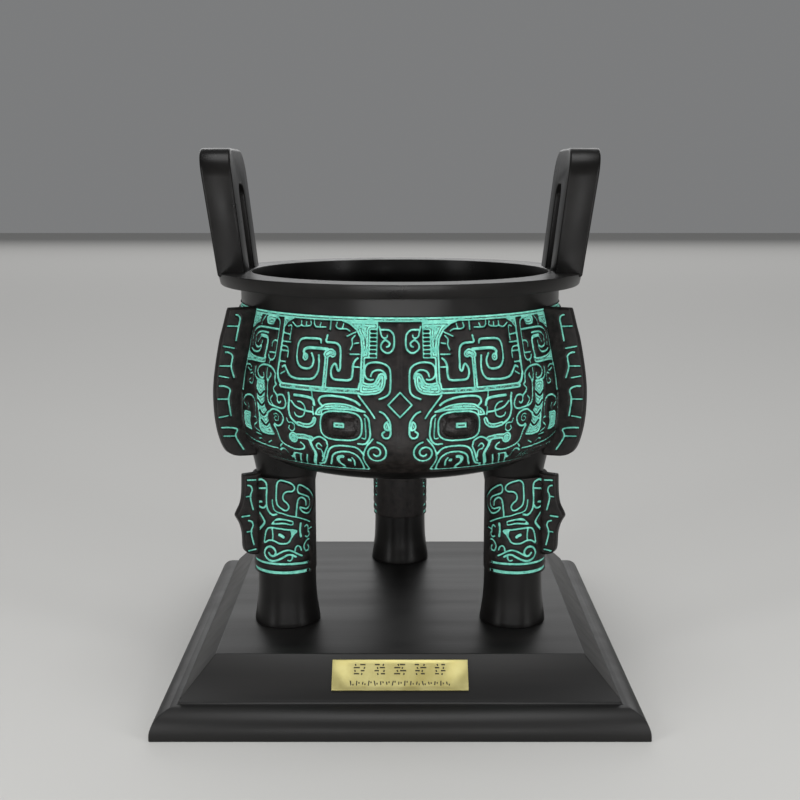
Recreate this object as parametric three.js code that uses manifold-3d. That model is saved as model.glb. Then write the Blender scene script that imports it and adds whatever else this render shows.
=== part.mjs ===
// Bronze ding on a wooden plinth.
//
// A round ritual vessel on three legs, with two upright ears on its rim, three animal
// masks around its bowl and three more on its legs. The vessel is one casting and stands
// on a square plinth that carries a small nameplate. Millimetres, +Z up. The origin is
// the middle of the plinth's underside and the front of the object faces -Y.

import * as THREE from 'three';
import { mergeVertices } from 'three/addons/utils/BufferGeometryUtils.js';
import Module from 'manifold-3d';

const wasm = await Module();
wasm.setup();

// ---------------------------------------------------------------- driving dimensions

const PLINTH_FOOT = 180;        // side of the square underside
const PLINTH_TOP = 137;         // side of the square top
const PLINTH_HEIGHT = 24.5;
const SLOPE_DROP = 12.5;        // height of the sloped upper part of the plinth
const SLOPE_SPREAD = 11.5;      // how far each side's slope runs outward
const PLATE = { width: 50, height: 11.6, thickness: 0.8, gap: 0.3 };

const VESSEL_SHIFT = -5.5;      // the vessel stands a little in front of the middle
const BOWL_SIDES = 36;
const CAVITY_SIDES = 24;
const NECK_RADIUS = 63.6;
const BOWL_BOTTOM = 61;         // height of the bowl's underside above the feet
const RELIEF_TOP = 123.8;       // where the masks end and the sunken top band starts
const RIM = { low: 132.7, high: 137.6, lowRadius: 71.6, highRadius: 72.6, innerRadius: 59.3 };

const LEG_CIRCLE = 52;          // radius of the circle that the three legs stand on
const LEG_SIDES = 12;
const LEG_RADIUS = 11.45;
const FOOT_RADIUS = 13;
const SLEEVE = { low: 21.5, high: 60.5, radius: 12.2, shift: 0.65 };
const LEG_AZIMUTHS = [-30, 90, 210];
const MASK_AZIMUTHS = [-90, 30, 150];

const FLANGE_THICKNESS = 3.6;
const CARVE_DEPTH = 0.7;        // depth of the sunken lines in the bowl and the legs
const LINE = 1.3;               // width of a thin sunken line
const FLANGE_CARVE_DEPTH = 0.5;
const MASK_ARC_RADIUS = 70;     // radius at which distances along the bowl are measured
const LEG_ARC_RADIUS = 12.3;    // and the same around a leg
const LEG_STEP = 6.5;           // longest stretch of a stroke around a leg
const BANDS = { low: 23.4, high: 26 };  // top of the lower band, middle of the upper one

const EAR = { width: 45, height: 47.4, base: 10.8, top: 12, lean: 5.6, inner: 59.3,
  corner: 11, slotWidth: 15, slotTop: 33.8, sunk: 2 };

const COLOURS = { bronze: 0x14120f, wood: 0x0b0a0a, plate: 0xb8a468 };

// ------------------------------------------------------------------- solids and cuts

const radians = THREE.MathUtils.degToRad;

/** A closed three.js geometry as a solid that can be joined and cut. */
function solidOf(geometry) {
  const bare = geometry.clone();
  bare.deleteAttribute('normal');
  bare.deleteAttribute('uv');
  const merged = mergeVertices(bare, 1e-4);
  return solidFrom(Array.from(merged.attributes.position.array), Array.from(merged.index.array));
}

/** A solid from corner coordinates and triangles, turned right side out if need be. */
function solidFrom(corners, triangles) {
  const point = (i) => new THREE.Vector3(corners[3 * i], corners[3 * i + 1], corners[3 * i + 2]);
  let volume = 0;
  for (let t = 0; t < triangles.length; t += 3) {
    volume += point(triangles[t]).dot(point(triangles[t + 1]).cross(point(triangles[t + 2])));
  }
  const facing = volume < 0 ? [...triangles].reverse() : triangles;
  return new wasm.Manifold(new wasm.Mesh({
    numProp: 3,
    vertProperties: new Float32Array(corners),
    triVerts: new Uint32Array(facing),
  }));
}

/** A solid back to a three.js geometry, flat-shaded. */
function geometryOf(solid) {
  const mesh = solid.getMesh();
  const corners = new Float32Array(3 * mesh.numVert);
  for (let i = 0; i < mesh.numVert; i += 1) {
    for (let k = 0; k < 3; k += 1) {
      corners[3 * i + k] = mesh.vertProperties[mesh.numProp * i + k];
    }
  }
  const geometry = new THREE.BufferGeometry();
  geometry.setAttribute('position', new THREE.BufferAttribute(corners, 3));
  geometry.setIndex(new THREE.BufferAttribute(mesh.triVerts, 1));
  geometry.computeVertexNormals();
  return geometry;
}

/** A turned shape about Z from [radius, height] points that start and end on the axis. */
function turned(outline, sides) {
  const geometry = new THREE.LatheGeometry(outline.map(([r, z]) => new THREE.Vector2(r, z)), sides);
  geometry.rotateX(Math.PI / 2);
  return geometry;
}

/** A flat outline in the [outward, up] plane, thick across it and centred on y = 0. */
function upright(outline, thickness) {
  const shape = new THREE.Shape(outline.map(([x, z]) => new THREE.Vector2(x, z)));
  const geometry = new THREE.ExtrudeGeometry(shape, { depth: thickness, bevelEnabled: false });
  geometry.rotateX(Math.PI / 2);
  geometry.translate(0, thickness / 2, 0);
  return geometry;
}

const joined = (solids) => solids.reduce((all, next) => all.add(next));

// -------------------------------------------------------------------- carved strokes

const LONGEST_STEP = 12;        // a longer stretch is split, so that a stroke hugs the wall
const CLEAR = 0.5;              // how far a cutter stands out above the surface

/** Splits every stretch of a stroke that is longer than the longest step. */
function split(points, longest) {
  const result = [points[0]];
  for (let i = 1; i < points.length; i += 1) {
    const [x0, y0] = points[i - 1];
    const [x1, y1] = points[i];
    const parts = Math.ceil(Math.hypot(x1 - x0, y1 - y0) / longest);
    for (let k = 1; k <= parts; k += 1) {
      result.push([x0 + (x1 - x0) * k / parts, y0 + (y1 - y0) * k / parts]);
    }
  }
  return result;
}

/** The sideways direction at each point of a stroke, lengthened at its corners. */
function sideways(points, closed) {
  const count = points.length;
  return points.map((point, i) => {
    const before = points[closed ? (i + count - 1) % count : Math.max(i - 1, 0)];
    const after = points[closed ? (i + 1) % count : Math.min(i + 1, count - 1)];
    const into = new THREE.Vector2(point[0] - before[0], point[1] - before[1]).normalize();
    const out = new THREE.Vector2(after[0] - point[0], after[1] - point[1]).normalize();
    const along = into.clone().add(out).normalize();
    const straight = into.length() > 0 ? into : out;
    const lengthen = 1 / Math.max(along.dot(straight), 0.6);
    return [-along.y * lengthen, along.x * lengthen];
  });
}

/** A cutter's cross-section, [share of half the width, out]: flat-bottomed or a V. */
function crossSection(flat, depth) {
  const flare = 1 + CLEAR / depth;
  return flat ? [[1, -depth], [-1, -depth], [-1, CLEAR], [1, CLEAR]]
    : [[0, -depth], [-flare, CLEAR], [flare, CLEAR]];
}

/**
 * A cutter that follows a stroke over a surface. The stroke has points [across, up],
 * and place(across, up, out) gives where such a point lies, standing out from the surface.
 */
function strokeCutter(stroke, place, depth) {
  const { width = LINE, flat = false, closed = false, longest = LONGEST_STEP } = stroke;
  const loop = closed ? [...stroke.points, stroke.points[0]] : stroke.points;
  const points = split(loop, longest);
  if (closed) {
    points.pop();
  }
  const sides = sideways(points, closed);
  const section = crossSection(flat, depth);
  const count = section.length;
  const corners = [];
  points.forEach(([x, y], i) => {
    const [sx, sy] = sides[i].map((value) => value * width / 2);
    section.forEach(([share, out]) => corners.push(...place(x + sx * share, y + sy * share, out)));
  });
  const triangles = [];
  const stretches = closed ? points.length : points.length - 1;
  for (let i = 0; i < stretches; i += 1) {
    const here = count * i;
    const next = count * ((i + 1) % points.length);
    for (let k = 0; k < count; k += 1) {
      const m = (k + 1) % count;
      triangles.push(here + k, next + k, next + m, here + k, next + m, here + m);
    }
  }
  if (!closed) {
    const last = corners.length / 3 - count;
    for (let k = 1; k < count - 1; k += 1) {
      triangles.push(0, k, k + 1, last, last + k + 1, last + k);
    }
  }
  return solidFrom(corners, triangles);
}

// ---------------------------------------------------------------------------- plinth

/** The plinth: a four-sided turned shape, so its mouldings meet in mitres. */
function plinth() {
  const topHalf = PLINTH_TOP / 2;
  const footHalf = PLINTH_FOOT / 2;
  const slopeFoot = topHalf + SLOPE_SPREAD;
  const ledge = PLINTH_HEIGHT - SLOPE_DROP;
  const outline = [[0, 0], [footHalf, 0], [footHalf, 1.6]];
  const ovolo = { x: slopeFoot + 1.2, z: 1.6, width: footHalf - slopeFoot - 1.2, height: ledge - 3.4 };
  const steps = 5;
  for (let k = 1; k <= steps; k += 1) {
    const turn = radians(90 * k / steps);
    outline.push([ovolo.x + ovolo.width * Math.cos(turn), ovolo.z + ovolo.height * Math.sin(turn)]);
  }
  outline.push([slopeFoot + 0.4, ledge - 1.2], [slopeFoot, ledge], [topHalf, PLINTH_HEIGHT]);
  outline.push([0, PLINTH_HEIGHT]);
  const mitred = outline.map(([half, z]) => [half * Math.SQRT2, z]);
  return turned(mitred, 4).rotateZ(Math.PI / 4);
}

/** The nameplate, lying flat, with rows of shallow strokes in place of an inscription. */
function nameplate() {
  const { width, height, thickness } = PLATE;
  const plate = solidOf(new THREE.BoxGeometry(width, height, thickness));
  const place = (x, y, out) => [x, y, thickness / 2 + out];
  const row = (count, pitch, strokesAt) => Array.from({ length: count }, (_, k) => (
    strokesAt((k - (count - 1) / 2) * pitch)
  )).flat();
  const upper = row(5, 7.2, (x) => [[[x - 2, 3.2], [x + 2, 3.2]], [[x - 1.2, 2], [x + 1.6, 0]]]);
  const lower = row(6, 6, (x) => [[[x - 2, -3], [x + 2, -3]]]);
  const cutters = [...upper, ...lower].map((points) => (
    strokeCutter({ points, width: 0.6 }, place, 0.3)
  ));
  return geometryOf(plate.subtract(joined(cutters)));
}

// ------------------------------------------------------------------------------ bowl

/** The raised outside of the bowl between its underside and its neck, [radius, height]. */
const WALL = [
  [40, BOWL_BOTTOM], [56, 65.4], [63.6, 70], [69.2, 76.5], [70.9, 86], [70.1, 98],
  [64.6, RELIEF_TOP],
];

/** The outside of the bowl's wall at a height: [radius, tilt of the surface]. */
function wallAt(z) {
  const radiusAt = (height) => {
    const i = Math.max(1, WALL.findIndex(([, h], k) => h >= height || k === WALL.length - 1));
    const [r0, z0] = WALL[i - 1];
    const [r1, z1] = WALL[i];
    return r0 + (r1 - r0) * (height - z0) / (z1 - z0);
  };
  return [radiusAt(z), Math.atan2(radiusAt(z + 2) - radiusAt(z - 2), 4)];
}

/** A point of the mask that faces -Y: across the mask, up from the feet, out of the wall. */
function onBowl(across, up, out) {
  const [radius, tilt] = wallAt(up);
  const turn = across / MASK_ARC_RADIUS;
  const r = radius + out * Math.cos(tilt);
  return [r * Math.sin(turn), -r * Math.cos(turn), up - out * Math.sin(tilt)];
}

function bowlOutside() {
  return solidOf(turned([
    [0, BOWL_BOTTOM], ...WALL, [NECK_RADIUS, RELIEF_TOP], [NECK_RADIUS, RIM.low],
    [RIM.lowRadius, RIM.low], [RIM.highRadius, RIM.high], [0, RIM.high],
  ], BOWL_SIDES));
}

/** The hollow of the bowl, which leaves a wall about 4 mm thick. */
function bowlCavity() {
  return solidOf(turned([
    [0, 65.5], [46, 67], [60.5, 73.2], [66.6, 86], [65.2, 101.5],
    [RIM.innerRadius, 126], [RIM.innerRadius, RIM.high + 2], [0, RIM.high + 2],
  ], CAVITY_SIDES));
}

/** An ear: an upright loop with a rounded top, standing on the rim and leaning outward. */
function ear() {
  const { width, height, corner, slotWidth, slotTop, sunk } = EAR;
  const half = width / 2;
  const slotHalf = slotWidth / 2;
  const slotCorner = 5;
  const outline = new THREE.Shape();
  outline.moveTo(-half, -sunk);
  outline.lineTo(-half, height - corner);
  outline.absarc(corner - half, height - corner, corner, Math.PI, Math.PI / 2, true);
  outline.absarc(half - corner, height - corner, corner, Math.PI / 2, 0, true);
  outline.lineTo(half, -sunk);
  outline.lineTo(slotHalf, -sunk);
  outline.lineTo(slotHalf, slotTop - slotCorner);
  outline.absarc(slotHalf - slotCorner, slotTop - slotCorner, slotCorner, 0, Math.PI / 2, false);
  outline.absarc(slotCorner - slotHalf, slotTop - slotCorner, slotCorner, Math.PI / 2, Math.PI, false);
  outline.lineTo(-slotHalf, -sunk);
  const geometry = new THREE.ExtrudeGeometry(outline, { depth: 1, bevelEnabled: false, curveSegments: 3 });
  const place = geometry.attributes.position;
  for (let i = 0; i < place.count; i += 1) {
    const rise = place.getY(i) / height;
    const inner = EAR.inner + EAR.lean * Math.max(rise, 0);
    const thickness = EAR.base + (EAR.top - EAR.base) * rise;
    place.setXYZ(i, inner + thickness * place.getZ(i), place.getX(i), RIM.high + place.getY(i));
  }
  return solidOf(geometry);
}

/** A flange on the bowl, its outline rounded at the foot. */
function bowlFlange() {
  return solidOf(upright([
    [58, 126], [74.1, 126], [76.1, 118.6], [79.5, 104.5], [80.7, 95], [80.5, 86],
    [79.4, 79.5], [77, 73], [74.5, 70.3], [70, 69], [58, 69],
  ], FLANGE_THICKNESS));
}

/** The hooks sunk into each face of a bowl flange, points [outward, up]. */
const FLANGE_HOOKS = [
  { points: [[73.4, 123.4], [70.6, 120.6], [71.9, 113.9]] },
  { points: [[76.4, 109.6], [73.6, 106.6], [73.7, 100]] },
  { points: [[78.8, 97], [75.8, 94.6], [74.8, 85.6]] },
  { points: [[78.4, 81.4], [74.6, 80.4], [71, 72.3]] },
];

// ----------------------------------------------------------------------- bowl's masks

const EYE = { across: 21.3, up: 87.4, halfWidth: 6.6, halfHeight: 4.4, height: 2.1 };

const LOZENGE = { middle: 95.4, halfWidth: 4, halfHeight: 4.2 };  // on the bridge of the nose
const CREASE = { gap: 1.2, top: 123, depth: 0.4 };  // between the lozenge and the top band

/** Points of a rounded oblong around a centre, in even steps. */
function oblong(x, y, halfWidth, halfHeight, count) {
  return Array.from({ length: count }, (_, k) => {
    const turn = 2 * Math.PI * (k + 0.5) / count;
    const squared = (value) => Math.sign(value) * Math.abs(value) ** 0.6;
    return [x + halfWidth * squared(Math.cos(turn)), y + halfHeight * squared(Math.sin(turn))];
  });
}

/** A stack of rounded oblongs [growth, out] around an eye's centre, closed at both ends. */
function eyeStack(side, rings) {
  const count = 8;
  const corners = [];
  rings.forEach(([growth, out]) => {
    const { across, up, halfWidth, halfHeight } = EYE;
    oblong(across, up, halfWidth + growth, halfHeight + growth, count).forEach(([x, y]) => {
      corners.push(...onBowl(side * x, y, out));
    });
  });
  const triangles = [];
  const top = (rings.length - 1) * count;
  for (let k = 0; k < count; k += 1) {
    const m = (k + 1) % count;
    for (let low = 0; low < top; low += count) {
      triangles.push(low + k, low + m, low + count + m, low + k, low + count + m, low + count + k);
    }
  }
  for (let k = 1; k < count - 1; k += 1) {
    triangles.push(0, k + 1, k, top, top + k, top + k + 1);
  }
  return solidFrom(corners, triangles);
}

/** The raised eye with its sunken pupil. */
function eyeBoss(side) {
  const boss = eyeStack(side, [[0, -1], [-0.3, EYE.height * 0.5], [-1.6, EYE.height]]);
  const onBoss = (across, up, out) => onBowl(side * across, up, out + EYE.height);
  const pupil = { points: [[EYE.across - 2.1, EYE.up + 0.4], [EYE.across + 2.1, EYE.up + 0.4]] };
  return boss.subtract(strokeCutter({ ...pupil, width: 2.1, flat: true }, onBoss, 1.2));
}

/** Half of a bowl mask, as strokes with points [across from the middle, up from the feet]. */
const MASK_STROKES = {
  hornBand: { width: 2.4, flat: true, points: [[6, 100.4], [48.4, 100.4]] },
  hornOuter: { points: [[28.6, 116.4], [22, 115.6], [22.6, 105], [16.6, 105.6]] },
  hornCurl: { points: [[30.9, 117.4], [41, 116.4], [40, 107.4]] },
  brow: { width: 2.3, flat: true, points: [[13.4, 94.4], [28.4, 94.6]] },
  noseHook: { points: [[7, 93], [3.6, 89], [3.8, 84]] },
  nostril: { points: [[9.6, 81.8], [5.4, 79.4], [7.6, 74.6]] },
  lip: { points: [[14.4, 72], [18.4, 79.4], [24.4, 79.2], [31.2, 71.6]] },
  jaw: { width: 2.2, flat: true, points: [[29.4, 82.4], [41.2, 81.6]] },
  cheek: { points: [[33, 96.6], [42.2, 94], [40.4, 87]] },
  shoulder: { points: [[46, 92], [52.8, 94], [51.6, 103.4], [59.6, 105]] },
  foreleg: { points: [[49.4, 85.6], [46, 78.6], [38, 78]] },
  haunch: { points: [[61.8, 84], [61.8, 92.8], [68, 92.8]] },
  tail: { points: [[52.4, 109.4], [52.4, 119.4], [66, 119.2]] },
};

/** The cutters of one bowl mask, half of them mirrored. */
function maskCutters() {
  const cutters = [];
  for (const side of [-1, 1]) {
    const place = (across, up, out) => onBowl(side * across, up, out);
    for (const stroke of Object.values(MASK_STROKES)) {
      cutters.push(strokeCutter(stroke, place, CARVE_DEPTH));
    }
  }
  const { middle, halfWidth, halfHeight } = LOZENGE;
  const top = middle + halfHeight;
  const corners = [[0, middle - halfHeight], [halfWidth, middle], [0, top], [-halfWidth, middle]];
  cutters.push(strokeCutter({ points: corners, closed: true }, onBowl, CARVE_DEPTH));
  cutters.push(strokeCutter({ points: [[0, top + CREASE.gap], [0, CREASE.top]] }, onBowl, CREASE.depth));
  return cutters;
}

// ------------------------------------------------------------------------------ legs

/** A point on a leg's sleeve. The leg's flange is along +X and half of the mask is on +Y. */
function onSleeve(across, up, out) {
  const turn = across / LEG_ARC_RADIUS;
  const r = SLEEVE.radius + out;
  return [SLEEVE.shift + r * Math.cos(turn), r * Math.sin(turn), up];
}

/** A leg without its carving, standing on the origin with its flange along +X. */
function leg() {
  const foot = turned([
    [0, 0], [FOOT_RADIUS, 0], [LEG_RADIUS + 0.2, 13], [LEG_RADIUS, SLEEVE.low], [0, SLEEVE.low],
  ], LEG_SIDES);
  const sunk = SLEEVE.radius - CARVE_DEPTH * 0.8;
  const sleeve = turned([
    [0, SLEEVE.low], [sunk, SLEEVE.low], [sunk, BANDS.low], [SLEEVE.radius, BANDS.low],
    [SLEEVE.radius, BANDS.high - LINE / 2], [sunk, BANDS.high], [SLEEVE.radius, BANDS.high + LINE / 2],
    [SLEEVE.radius, SLEEVE.high], [0, SLEEVE.high],
  ], LEG_SIDES).translate(SLEEVE.shift, 0, 0);
  const neck = turned([[0, 51], [10.2, 51], [13.8, 71], [0, 71]], LEG_SIDES);
  neck.translate(-0.8, 0, 0);
  const flange = upright([
    [8, 61.4], [18.2, 61.2], [18.4, 53], [21.4, 45.4], [18.7, 37.6],
    [18.5, 31.8], [17.6, 30], [15.4, 29], [8, 29],
  ], FLANGE_THICKNESS);
  return joined([foot, sleeve, neck, flange].map(solidOf));
}

/** Half of a leg's mask, as strokes with points [around from the flange, up from the feet]. */
const LEG_STROKES = {
  crest: { points: [[6.2, 58], [6.2, 48.4]] },
  chevron: { points: [[2.4, 45.4], [5, 42.8], [2.4, 40]] },
  horn: { points: [[10, 57], [10, 49.6], [22.4, 44]] },
  brow: { width: 1.8, flat: true, points: [[8.6, 43.4], [16.8, 43.2]] },
  eye: { points: [[5.8, 38], [16.4, 37.6]], width: 4.2, flat: true },
  lip: { points: [[5, 29.4], [18.6, 29.8]] },
};

/** The cutters of one leg: the mask's halves, two bands and the marks on its flange. */
function legCutters() {
  const cutters = [];
  for (const side of [-1, 1]) {
    const place = (across, up, out) => onSleeve(side * across, up, out);
    for (const stroke of Object.values(LEG_STROKES)) {
      cutters.push(strokeCutter({ ...stroke, longest: LEG_STEP }, place, CARVE_DEPTH));
    }
    const face = (outward, up, out) => [outward, side * (FLANGE_THICKNESS / 2 + out), up];
    for (const foot of [33.4, 47.6]) {
      const hook = [[17, foot + 9.6], [15, foot + 7], [15.6, foot]];
      cutters.push(strokeCutter({ points: hook }, face, FLANGE_CARVE_DEPTH));
    }
  }
  return cutters;
}

// ----------------------------------------------------------------------- the casting

/** The whole vessel as one casting, standing on the origin. */
function ding() {
  const legsAt = (solid) => LEG_AZIMUTHS.map((azimuth) => solid
    .translate([LEG_CIRCLE, 0, 0]).rotate([0, 0, azimuth]));
  const flangesAt = (solid) => LEG_AZIMUTHS.map((azimuth) => solid.rotate([0, 0, azimuth]));
  const masksAt = (solid) => MASK_AZIMUTHS.map((azimuth) => solid.rotate([0, 0, azimuth + 90]));

  const body = joined([
    bowlOutside(), ...masksAt(joined([eyeBoss(-1), eyeBoss(1)])),
    ...flangesAt(bowlFlange()), ...legsAt(leg()),
  ]).subtract(bowlCavity());
  const casting = joined([body, ear(), ear().rotate([0, 0, 180])]);

  const marks = [];
  for (const side of [-1, 1]) {
    const face = (outward, up, out) => [outward, side * (FLANGE_THICKNESS / 2 + out), up];
    marks.push(...FLANGE_HOOKS.map((stroke) => strokeCutter(stroke, face, FLANGE_CARVE_DEPTH)));
  }
  const carving = joined([
    ...masksAt(joined(maskCutters())), ...flangesAt(joined(marks)), ...legsAt(joined(legCutters())),
  ]);
  return geometryOf(casting.subtract(carving));
}

// ------------------------------------------------------------------------- the group

function material(colour, roughness, metalness) {
  return new THREE.MeshStandardMaterial({ color: colour, roughness, metalness, flatShading: true });
}

function named(name, geometry, surface) {
  const mesh = new THREE.Mesh(geometry, surface);
  mesh.name = name;
  return mesh;
}

const object = new THREE.Group();
object.add(named('plinth', plinth(), material(COLOURS.wood, 0.35, 0)));

const vessel = named('ding_vessel', ding(), material(COLOURS.bronze, 0.4, 0.8));
vessel.position.set(0, VESSEL_SHIFT, PLINTH_HEIGHT);
object.add(vessel);

const slope = new THREE.Group();
const slopeTilt = Math.atan2(SLOPE_DROP, SLOPE_SPREAD);
slope.position.set(0, -(PLINTH_TOP + SLOPE_SPREAD) / 2, PLINTH_HEIGHT - SLOPE_DROP / 2);
slope.rotation.x = slopeTilt;
const plate = named('nameplate', nameplate(), material(COLOURS.plate, 0.35, 1));
plate.position.z = PLATE.thickness / 2 + PLATE.gap;
slope.add(plate);
object.add(slope);

export default object;
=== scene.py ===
# %% [markdown]
# # A bronze ding on a wooden plinth
#
# This lesson builds a desk replica of a round ritual vessel. It is black all over, and the
# sunken lines of its animal masks are filled with turquoise paint, like verdigris. It
# stands on a square black plinth with a small brass plate. We start from the packed CAD
# model, which fixes every size and place, and make each piece again with the fine surface
# that the faceted solids leave out.

import math
import random

import bpy
import numpy as np
from mathutils import Matrix, Vector


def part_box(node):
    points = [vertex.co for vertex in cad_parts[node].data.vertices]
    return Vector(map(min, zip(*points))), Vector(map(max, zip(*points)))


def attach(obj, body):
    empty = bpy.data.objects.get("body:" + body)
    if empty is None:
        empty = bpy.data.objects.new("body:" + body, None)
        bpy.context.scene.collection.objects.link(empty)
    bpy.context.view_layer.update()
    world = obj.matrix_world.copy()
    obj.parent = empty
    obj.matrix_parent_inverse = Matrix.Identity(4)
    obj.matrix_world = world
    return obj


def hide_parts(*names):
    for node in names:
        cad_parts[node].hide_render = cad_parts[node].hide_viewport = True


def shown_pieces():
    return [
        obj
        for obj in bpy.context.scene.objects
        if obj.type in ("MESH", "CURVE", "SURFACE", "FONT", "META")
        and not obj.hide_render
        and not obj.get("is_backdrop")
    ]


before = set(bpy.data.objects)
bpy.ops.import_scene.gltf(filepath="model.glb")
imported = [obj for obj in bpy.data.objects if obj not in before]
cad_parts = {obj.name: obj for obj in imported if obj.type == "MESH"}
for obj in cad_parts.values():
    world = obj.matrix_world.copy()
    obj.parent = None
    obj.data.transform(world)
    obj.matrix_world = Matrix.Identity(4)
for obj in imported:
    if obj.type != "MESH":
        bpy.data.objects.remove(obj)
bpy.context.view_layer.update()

# %% [markdown]
# All lengths below are in millimetres, because that is how a maker would measure such a
# piece, and MM turns them into Blender's metres. The vessel stands on the plinth, so its
# feet are as high as the plinth's top, and its axis is a little in front of the middle.

# %% Sizes taken from the frame
MM = 0.001
RIM_RADIUS = 72.6

plinth_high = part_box("plinth")[1]
vessel_low, vessel_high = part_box("ding_vessel")
plate_low, plate_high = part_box("nameplate")
FEET = plinth_high.z / MM
AXIS_Y = vessel_low.y / MM + RIM_RADIUS
VESSEL_HEIGHT = (vessel_high.z - vessel_low.z) / MM
LEG_AZIMUTHS = [math.radians(a) for a in (-30, 90, 210)]
MASK_AZIMUTHS = [math.radians(a) for a in (-90, 30, 150)]
print(f"feet at {FEET:.2f} mm, axis at y {AXIS_Y:.2f} mm, vessel {VESSEL_HEIGHT:.1f} mm high")

# %% [markdown]
# ## Camera, floor and light
#
# The camera stands about half a metre in front of the vessel, a little above it, and looks
# down by about eleven degrees. A black satin object shows mostly what it reflects, so the
# light decides its look. Upright strips at both sides catch the round parts, two small
# patches in front are aimed at the ears, a low panel on the floor in front brightens the
# middle of the rim, and a wide panel behind gives the plinth's flat top its grey sheen.

# %% Camera
camera_data = bpy.data.cameras.new("camera")
camera = bpy.data.objects.new("camera", camera_data)
bpy.context.scene.collection.objects.link(camera)
camera_data.lens = 52.43
camera_data.clip_start = 0.01
camera.location = (0, -0.4764, FEET * MM + 0.1728)
camera.rotation_euler = (math.radians(90 - 10.68), 0, 0)
bpy.context.scene.camera = camera
bpy.context.scene.view_settings.view_transform = "Standard"
print("camera at", tuple(round(v, 3) for v in camera.location))


# %% Floor and light
def simple_material(name, colour, roughness):
    material = bpy.data.materials.new(name)
    material.use_nodes = True
    shader = material.node_tree.nodes["Principled BSDF"]
    shader.inputs["Base Color"].default_value = (*colour, 1)
    shader.inputs["Roughness"].default_value = roughness
    return material


def soft_panel(name, place, aim, width, height, power):
    light = bpy.data.lights.new(name, "AREA")
    light.shape = "RECTANGLE"
    light.size, light.size_y, light.energy = width, height, power
    panel = bpy.data.objects.new(name, light)
    bpy.context.scene.collection.objects.link(panel)
    panel.location = place
    panel.rotation_euler = (Vector(aim) - Vector(place)).to_track_quat("-Z", "Y").to_euler()
    panel.visible_camera = False
    return panel


bpy.ops.object.select_all(action="DESELECT")
bpy.ops.mesh.primitive_plane_add(size=8, location=(0, 0, 0))
floor = bpy.context.active_object
floor.name = "floor"
floor.data.materials.append(simple_material("pale_floor", (0.52, 0.515, 0.50), 0.75))
floor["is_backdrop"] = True

world = bpy.data.worlds.new("studio")
world.use_nodes = True
world.node_tree.nodes["Background"].inputs["Color"].default_value = (0.80, 0.81, 0.82, 1)
world.node_tree.nodes["Background"].inputs["Strength"].default_value = 0.25
bpy.context.scene.world = world

for side, name in ((-1, "left"), (1, "right")):
    soft_panel(f"strip_{name}", place=(side * 0.50, -0.42, 0.23), aim=(0, 0, 0.12),
               width=0.12, height=0.46, power=1.6)
    soft_panel(f"patch_{name}", place=(side * 0.17, -0.70, 0.175), aim=(side * 0.07, 0, 0.19),
               width=0.10, height=0.06, power=0.6)
soft_panel("panel_above", place=(0, -0.2, 2.2), aim=(0, 0, 0), width=1.2, height=1.2, power=26)
soft_panel("panel_low", place=(0, -0.36, 0.005), aim=(0, -0.36, 1), width=0.36, height=0.10, power=1.7)
soft_panel("panel_behind", place=(0, 3.0, 1.3), aim=(0, 0, 0.1), width=4.4, height=1.4, power=31)
print("floor, world and soft panels")

# %% [markdown]
# ## Finishes
#
# Every finish gets a fine unevenness from one shared node group, "fine_grain". It reads
# Object coordinates, so it needs no unwrapping, and gives a height for a Bump node and a
# mottled value that varies colour and roughness. Each material sets its own scale.


# %% The shared grain
def new_group(name, inputs, outputs):
    group = bpy.data.node_groups.new(name, "ShaderNodeTree")
    for label, kind, value in inputs:
        socket = group.interface.new_socket(label, in_out="INPUT", socket_type=kind)
        if value is not None:
            socket.default_value = value
    for label, kind in outputs:
        group.interface.new_socket(label, in_out="OUTPUT", socket_type=kind)
    start = group.nodes.new("NodeGroupInput")
    end = group.nodes.new("NodeGroupOutput")
    return group, start, end


def add_node(tree, kind, settings=None, **values):
    node = tree.nodes.new(kind)
    for name, value in (settings or {}).items():
        setattr(node, name, value)
    for name, value in values.items():
        node.inputs[name.replace("_", " ")].default_value = value
    return node


grain, grain_in, grain_out = new_group(
    "fine_grain",
    [("Vector", "NodeSocketVector", None), ("Fine Scale", "NodeSocketFloat", 900.0),
     ("Broad Scale", "NodeSocketFloat", 60.0)],
    [("Height", "NodeSocketFloat"), ("Mottle", "NodeSocketFloat")],
)
fine = add_node(grain, "ShaderNodeTexNoise", Detail=4.0, Roughness=0.6)
broad = add_node(grain, "ShaderNodeTexNoise", Detail=3.0, Roughness=0.55)
spread = add_node(grain, "ShaderNodeMapRange", From_Min=0.3, From_Max=0.7)
grain.links.new(grain_in.outputs["Vector"], fine.inputs["Vector"])
grain.links.new(grain_in.outputs["Vector"], broad.inputs["Vector"])
grain.links.new(grain_in.outputs["Fine Scale"], fine.inputs["Scale"])
grain.links.new(grain_in.outputs["Broad Scale"], broad.inputs["Scale"])
grain.links.new(broad.outputs["Fac"], spread.inputs["Value"])
grain.links.new(fine.outputs["Fac"], grain_out.inputs["Height"])
grain.links.new(spread.outputs["Result"], grain_out.inputs["Mottle"])
print("node group", grain.name)


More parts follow.
